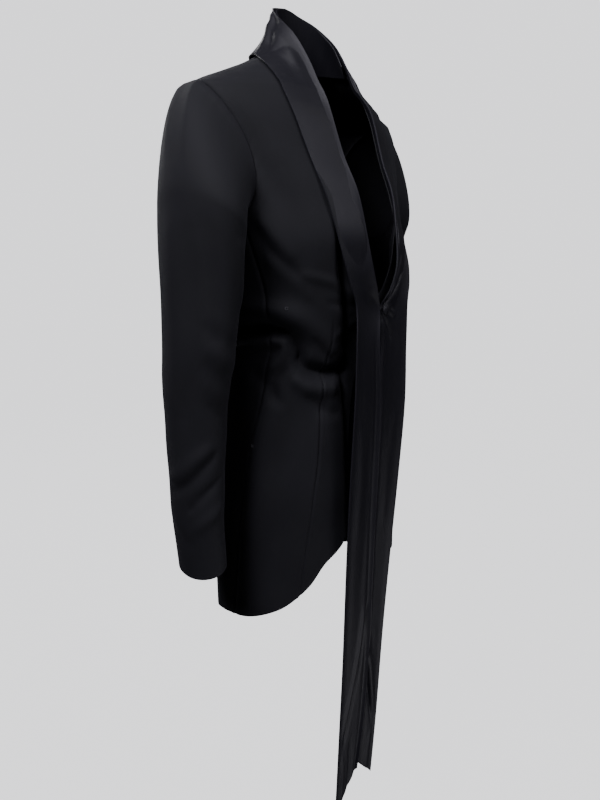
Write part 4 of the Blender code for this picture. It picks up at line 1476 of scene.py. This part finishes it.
@dataclass
class ScarfCollar:
    """One half of the shawl collar, running down into its scarf band."""

    form: BodyForm
    side: Side
    finish: bpy.types.Material
    wall: float = 0.0018
    rim: float = 0.0008
    rows: int = 330
    columns: int = 44
    clearance: float = 0.0032
    roll_part: float = 0.10
    roll_depth: float = 0.0015
    roll_breadth: float = 0.06
    half_gap: float = 0.00003
    closure_height: float = -0.318
    breadth: float = 0.056
    # long folds of the hanging band, at the roll, at the free edge and between: place, breadth, rise
    long_folds: tuple[Row, ...] = ((0.10, 0.09, 0.0026), (0.90, 0.14, 0.0011), (0.52, 0.22, -0.0014))
    hang_fade: float = 0.08
    sway_rise: float = 0.0012
    sway_top: float = -0.36
    sway_fade: float = 0.12
    # fold of the fall beside the neck: place along the sections, breadth, rise
    neck_folds: tuple[Row, ...] = ((2.85, 0.40, 0.0016), (2.15, 0.30, -0.0032))
    fold_slant: float = 1.4
    fold_start: float = 0.12
    fold_end: float = 0.45
    across_steps: Row = (0.008, 0.018, 0.032)
    flat: tuple[float, float] = (0.09, 1.31)
    flat_area: float = 0.075

    def waves(self, ruler: Array, height: Array) -> Array:
        """Long soft folds down the hanging band, and the pulls at the closure.

        Args:
            ruler: part of the way from roll edge to free edge.
            height: height of each point.
        Returns:
            How far the satin lifts.
        """
        hang = eased((self.closure_height - 0.01 - height) / self.hang_fade)
        seed = self.side.pick(0.0, 1.7)
        drift = 0.07 * np.sin(height * 6.5 + seed) + 0.03 * np.sin(height * 15.0 + 2 * seed)
        swell = 1 + 0.3 * np.sin(height * 9.0 + 2 * seed)
        total = 0.0
        for (place, breadth, rise), moved, grown in zip(self.long_folds, (0, 0, drift), (1, 1, swell)):
            total = total + hang * rise * grown * bell(ruler - (place + moved), breadth)
        for crease in BAND_CREASES + self.side.pick((), LEFT_BAND_CREASES):
            total = total + crease.heights(ruler, height, self.breadth, seed)
        sway = self.sway_rise * np.sin(height * 10.0 + 1.2 * ruler + seed) * eased(ruler / 0.3)
        return total + sway * eased((self.sway_top - height) / self.sway_fade)

    def neck_fold(self, ruler: Array, section: Array) -> Array:
        """The fold that runs slantwise over the fall where the collar turns round the neck.

        Args:
            ruler: part of the way from roll edge to free edge.
            section: places along the collar's sections.
        Returns:
            How far the satin lifts.
        """
        along = section - self.fold_slant * ruler
        inside = eased(ruler / self.fold_start) * eased((1 - ruler) / self.fold_end)
        return inside * sum(rise * bell(along - place, breadth) for place, breadth, rise in self.neck_folds)

    def build(self) -> list[bpy.types.Object]:
        """Make the collar half and its band.

        Returns:
            The pieces made.
        """
        table = COLLAR_SECTIONS + self.side.pick(RIGHT_BAND, LEFT_BAND)
        fine = np.linspace(0, len(table) - 1, self.rows) * JUST_UNDER_ONE
        section = through(table, fine)
        roll, free, bow = section[:, None, 0:3], section[:, None, 3:6], section[:, 6:7]
        ruler = edge_ruler(self.columns, self.across_steps)[None, :]
        point = between(roll, free, ruler[..., None])
        along = np.gradient(point[:, point.shape[1] // 2, :], axis=0)[:, None, :]
        normal = unit(np.cross(free - roll, along))
        bulge = bow * np.sin(np.pi * ruler) - self.roll_depth * np.exp(-ruler / self.roll_breadth)
        point = point + normal * bulge[..., None]
        lies = (point[..., 2] > self.closure_height) & (ruler > self.roll_part)
        point = np.where(lies[..., None], self.form.pushed_out(point, self.clearance), point)
        lift = self.waves(ruler, point[..., 2]) + self.neck_fold(ruler, fine[:, None])
        point = point + normal * lift[..., None]
        point[0, :, 0] = self.half_gap
        edge = edge_distance(point, (True, True, False, True))
        point[..., 0] *= self.side.value
        node = self.side.word + "_scarf_collar"
        return [Cloth(node, Fabric.SATIN, point, self.finish, self.side is Side.LEFT, edge, self.flat,
                      self.flat_area, self.wall, self.rim).build()]


@dataclass
class CollarStand:
    """The band inside the collar, from the neck edge to just under the fold."""

    finish: bpy.types.Material
    rim: float = 0.0006
    columns: int = 160
    rows: int = 26
    sections: tuple[Row, ...] = in_metres(
        # turn, low_side, low_y, low_z, high_side, high_y, high_z
        (0, 0, 59, 11.5, 0, 40.5, 76.8), (1, 31.2, 53.1, 8.2, 23, 34.2, 70.8),
        (2, 58, 33.3, 4.8, 40.5, 18.2, 60.8), (3, 71.5, 4.6, 1.6, 48.5, 2.8, 47.3),
        (4, 72.2, -13.6, -2, 51.5, -14.5, 29.5), (5, 65.6, -29.2, -6.6, 50.8, -30, 4),
        plain=0,
    )
    flat: tuple[float, float] = (0.27, 0.07)
    flat_area: float = 0.0130

    def build(self) -> list[bpy.types.Object]:
        """Make the stand.

        Returns:
            The pieces made.
        """
        half = np.array(self.sections)
        whole = np.concatenate([half[:0:-1] * (1, -1, 1, 1, -1, 1, 1), half])
        section = through(whole, np.linspace(0, len(whole) - 1, self.columns) * JUST_UNDER_ONE)
        part = edge_ruler(self.rows, (0.02, 0.05))[:, None, None]
        points = between(section[:, 1:4], section[:, 4:7], part)
        return [Cloth("collar_stand", Fabric.SATIN, points, self.finish, False, edge_distance(points),
                      self.flat, self.flat_area, rim=self.rim).build()]


@dataclass
class ClosureButton:
    """The covered button, with its gathered back and shank."""

    finish: bpy.types.Material
    radius: float = 0.0075
    thickness: float = 0.0060
    place: Row = (0.0025, -0.1440, -0.3200)
    turn: float = 12.0
    spokes: int = 96
    rings: int = 60
    gathers: int = 14
    gather_share: float = 0.035
    gather_rise: float = 0.0003
    gather_place: float = 0.75
    gather_breadth: float = 0.25
    edge_place: float = 0.02
    profile: tuple[Row, ...] = (
        # part_of_radius, part_of_thickness
        (0, 0.5), (0.3, 0.49), (0.6, 0.42), (0.82, 0.28), (0.95, 0.1), (1, -0.04), (0.97, -0.18),
        (0.86, -0.29), (0.62, -0.34), (0.36, -0.38), (0.24, -0.44), (0.2, -0.5), (0, -0.5),
    )

    def build(self) -> list[bpy.types.Object]:
        """Make the button by turning its profile, with small gathers behind.

        Returns:
            The pieces made.
        """
        rows = through(self.profile, np.linspace(0, len(self.profile) - 1, self.rings) * JUST_UNDER_ONE)
        spin = np.linspace(0, FULL_TURN, self.spokes, endpoint=False)[None, :]
        behind = bell(rows[:, :1] - self.gather_place, self.gather_breadth)
        behind = behind * np.clip(-rows[:, 1:] * 3.0, 0, 1)
        radius = np.maximum(rows[:, :1], 0.0) * self.radius
        radius = radius * (1 + self.gather_share * behind * np.sin(self.gathers * spin))
        height = rows[:, 1:] * self.thickness + self.gather_rise * behind * np.cos(self.gathers * spin)
        points = np.stack([radius * np.cos(spin), radius * np.sin(spin), height], axis=-1)
        vertices = np.concatenate([points[0, :1], points[1:-1].reshape(-1, 3), points[-1, :1]])
        end = len(vertices) - 1
        pairs = [(number, (number + 1) % self.spokes) for number in range(self.spokes)]
        faces = [(0, 1 + here, 1 + after) for here, after in pairs]
        faces += (1 + grid_faces(self.rings - 2, self.spokes, True, True)).tolist()
        faces += [(end - self.spokes + after, end - self.spokes + here, end) for here, after in pairs]
        mesh = smooth_mesh("closure_button_covered", vertices, faces)
        mark_cloth(mesh, np.where((False, False, True), self.edge_place, vertices))
        thing = dressed(mesh, self.finish, "button", "closure_button")
        upright = Matrix.Rotation(math.radians(90.0), 4, "X")
        turned = Matrix.Rotation(math.radians(self.turn), 4, "Z")
        thing.matrix_world = Matrix.Translation(Vector(self.place)) @ turned @ upright
        return [thing]


@dataclass
class ThreadTack:
    """A few stitches of thread that stand on the cloth of the right front.

    Each stitch is given by the places of its two ends beside the tack's own place.
    """

    form: BodyForm
    finish: bpy.types.Material
    name: str
    angle: float
    height: float
    stitches: tuple[Row, ...]
    thread: float = 0.00045
    lift: float = 0.00175
    rise: float = 0.0006
    spokes: int = 8
    steps: int = 12

    def build(self) -> list[bpy.types.Object]:
        """Make each stitch as a small arched tube between its two holes.

        Returns:
            The pieces made.
        """
        side, count = Side.RIGHT, self.spokes * self.steps
        vertices, faces = [], []
        normal = self.form.normal(self.angle, self.height, side)
        turn_per_metre = self.form.turned(self.angle, self.height, side, 1.0) - self.angle
        part = np.linspace(0, 1, self.steps)
        spin = np.linspace(0, FULL_TURN, self.spokes, endpoint=False)[:, None]
        for base, (first_x, first_z, last_x, last_z) in enumerate(self.stitches):
            angle = self.angle + turn_per_metre * between(first_x, last_x, part)
            height = self.height + between(first_z, last_z, part)
            off = self.lift + self.rise * np.sin(np.pi * part) - self.thread
            line = self.form.point(angle, height, side, off)
            aside = unit(np.cross(np.gradient(line, axis=0), normal))[:, None]
            vertices.append(line[:, None] + self.thread * (np.cos(spin) * aside + np.sin(spin) * normal))
            first, last = base * count, (base + 1) * count
            faces += (first + grid_faces(self.steps, self.spokes, False, True)).tolist()
            caps = range(first + self.spokes - 1, first - 1, -1), range(last - self.spokes, last)
            faces += [tuple(cap) for cap in caps]
        return [dressed(smooth_mesh(self.name, vertices, faces), self.finish, "wool")]


def chords(radius: float, turns: Row, reach: float) -> tuple[Row, ...]:
    """Short stitches round a ring, each from one turn to another, in radians.

    Args:
        radius: radius of the ring, metres.
        turns: where the stitches start, radians.
        reach: turn from one end of a stitch to the other.
    Returns:
        The places of each stitch's two ends.
    """
    ends = ((turn, turn + reach) for turn in turns)
    ways = math.cos, math.sin
    return tuple(tuple(radius * way(turn) for turn in pair for way in ways) for pair in ends)


@dataclass
class Studio:
    """Floor, light and the camera of the picture."""

    floor_height: float = -1.48
    floor_radius: float = 9.0
    floor_sides: int = 96
    floor_tones: tuple[Row, Row] = ((0.0985, 0.0985, 0.0985), (0.10, 0.10, 0.10))
    floor_roughness: float = 0.86
    camera_place: Row = (-0.67417, -0.65630, -0.22510)
    camera_yaw: float = 45.07
    camera_pitch: float = 14.57
    camera_roll: float = -0.14
    camera_focal_pixels: float = 628.0
    sensor_height: float = 24.0
    image_height: float = 800.0
    surround_colour: Row = (0.97, 0.97, 1.0, 1.0)
    surround: float = 0.02
    seen_surround: float = 1.6
    lamps: tuple[tuple[str, Row, Row, float, float], ...] = (
        # name, place, aim, size, power
        ("key", (-1.30, -0.25, 0.85), (0.0, 0.0, -0.3), 0.7, 33.0),
        ("front", (-0.4, -2.4, 1.5), (0.0, 0.0, -0.5), 1.6, 11.0),
        ("near_front", (0.02, -1.3, 0.60), (0.0, 0.0, -0.35), 0.5, 6.0),
        ("low_front", (0.12, -1.00, -1.35), (0.0, -0.1, -0.9), 0.9, 4.2),
        ("far_side", (2.2, -1.8, 1.4), (0.0, 0.0, -0.5), 1.4, 12.0),
        ("back_side", (0.3, 2.6, 1.0), (0.0, 0.0, -0.4), 1.6, 36.0),
        ("above", (-0.4, -0.5, 1.7), (0.0, 0.0, -0.3), 1.0, 13.0),
    )

    def floor(self) -> None:
        """A wide pale floor, which lights neither the cloth nor its sheen."""
        spin = np.linspace(0, FULL_TURN, self.floor_sides, endpoint=False)
        flat = self.floor_radius * np.cos(spin), self.floor_radius * np.sin(spin)
        ring = np.stack([*flat, np.full(self.floor_sides, self.floor_height)], axis=-1)
        mesh = bpy.data.meshes.new("studio_floor")
        mesh.from_pydata(ring.tolist(), [], [tuple(range(self.floor_sides))])
        mesh.materials.append(StageFinish("studio_paper", *self.floor_tones, self.floor_roughness).make())
        thing = linked("studio_floor", mesh)
        thing.visible_diffuse = False
        thing.visible_glossy = False

    def light(self) -> None:
        """Large soft lamps, and a pale surround that the camera sees but the cloth hardly does."""
        for name, place, aim, size, power in self.lamps:
            lamp = bpy.data.lights.new(name, "AREA")
            lamp.shape = "DISK"
            lamp.size, lamp.energy = size, power
            turned = (Vector(aim) - Vector(place)).to_track_quat("-Z", "Y").to_matrix().to_4x4()
            linked(name, lamp).matrix_world = Matrix.Translation(Vector(place)) @ turned
        world = bpy.data.worlds.new("surround")
        bpy.context.scene.world = world
        world.use_nodes = True
        seen = NodeMaker(world.node_tree).add("ShaderNodeLightPath", {}, {}, "Is Camera Ray")
        strength = seen * (self.seen_surround - self.surround) + self.surround
        backing = world.node_tree.nodes["Background"]
        backing.inputs["Color"].default_value = self.surround_colour
        world.node_tree.links.new(strength.link, backing.inputs["Strength"])

    def camera(self) -> None:
        """The camera at the picture's own place and angle."""
        yaw, pitch, roll = (math.radians(v) for v in (self.camera_yaw, self.camera_pitch, self.camera_roll))
        flat = math.cos(pitch)
        ahead = Vector((math.sin(yaw) * flat, math.cos(yaw) * flat, -math.sin(pitch)))
        level = Vector((math.cos(yaw), -math.sin(yaw), 0.0))
        above = level.cross(ahead)
        right = level * math.cos(roll) + above * math.sin(roll)
        up = above * math.cos(roll) - level * math.sin(roll)
        data = bpy.data.cameras.new("camera")
        data.sensor_fit = "VERTICAL"
        data.sensor_height = self.sensor_height
        data.lens = self.camera_focal_pixels / self.image_height * self.sensor_height
        thing = linked("camera", data)
        turn = Matrix((right, up, -ahead)).transposed().to_4x4()
        thing.matrix_world = Matrix.Translation(Vector(self.camera_place)) @ turn
        bpy.context.scene.camera = thing

    def build(self) -> None:
        """Set up the whole studio."""
        self.floor()
        self.light()
        self.camera()


def main() -> None:
    """Build the studio and every piece of the blazer."""
    logging.basicConfig(level=logging.INFO, format="%(message)s")
    Studio().build()
    form = BodyForm()
    # painted sheen: the lighter tone of the satin and of the covered button, which their noise mixes into
    # the colour
    sheen = (0.0115, 0.0110, 0.0158)
    wool = WoolFinish("fine_wool", (0.0052, 0.0052, 0.0074), (0.0120, 0.0116, 0.0164), 0.70).make()
    satin = SatinFinish("black_satin", (0.0050, 0.0048, 0.0074), sheen, 0.46).make()
    covered = SatinFinish("covered_button", (0.0030, 0.0030, 0.0040), sheen, 0.55).make()
    thread = ThreadFinish("sewing_thread", (0.018, 0.018, 0.024), (0.0342, 0.0342, 0.0456), 0.5).make()
    ring = chords(0.0019, (0.0, 1.26, 2.51, 3.77, 5.03), 1.2)
    bars = in_metres((-2.2, 1.0, 2.2, 1.2), (-2.0, -0.4, 2.1, -0.2), (-2.2, -1.8, 2.0, -1.5))
    makers = [made(form, side, wool) for side in Side for made in (Front, SidePanel, Back, Sleeve)]
    makers += [ScarfCollar(form, side, satin) for side in Side]
    makers += [
        CollarStand(satin), ClosureButton(covered),
        ThreadTack(form, thread, "front_thread_mark", 53.0, -0.312, ring),
        ThreadTack(form, thread, "pocket_end_tack", 72.5, -0.500, bars),
    ]
    for maker in makers:
        for piece in maker.build():
            LOG.info("made %s", piece.name)


if __name__ == "__main__":
    main()
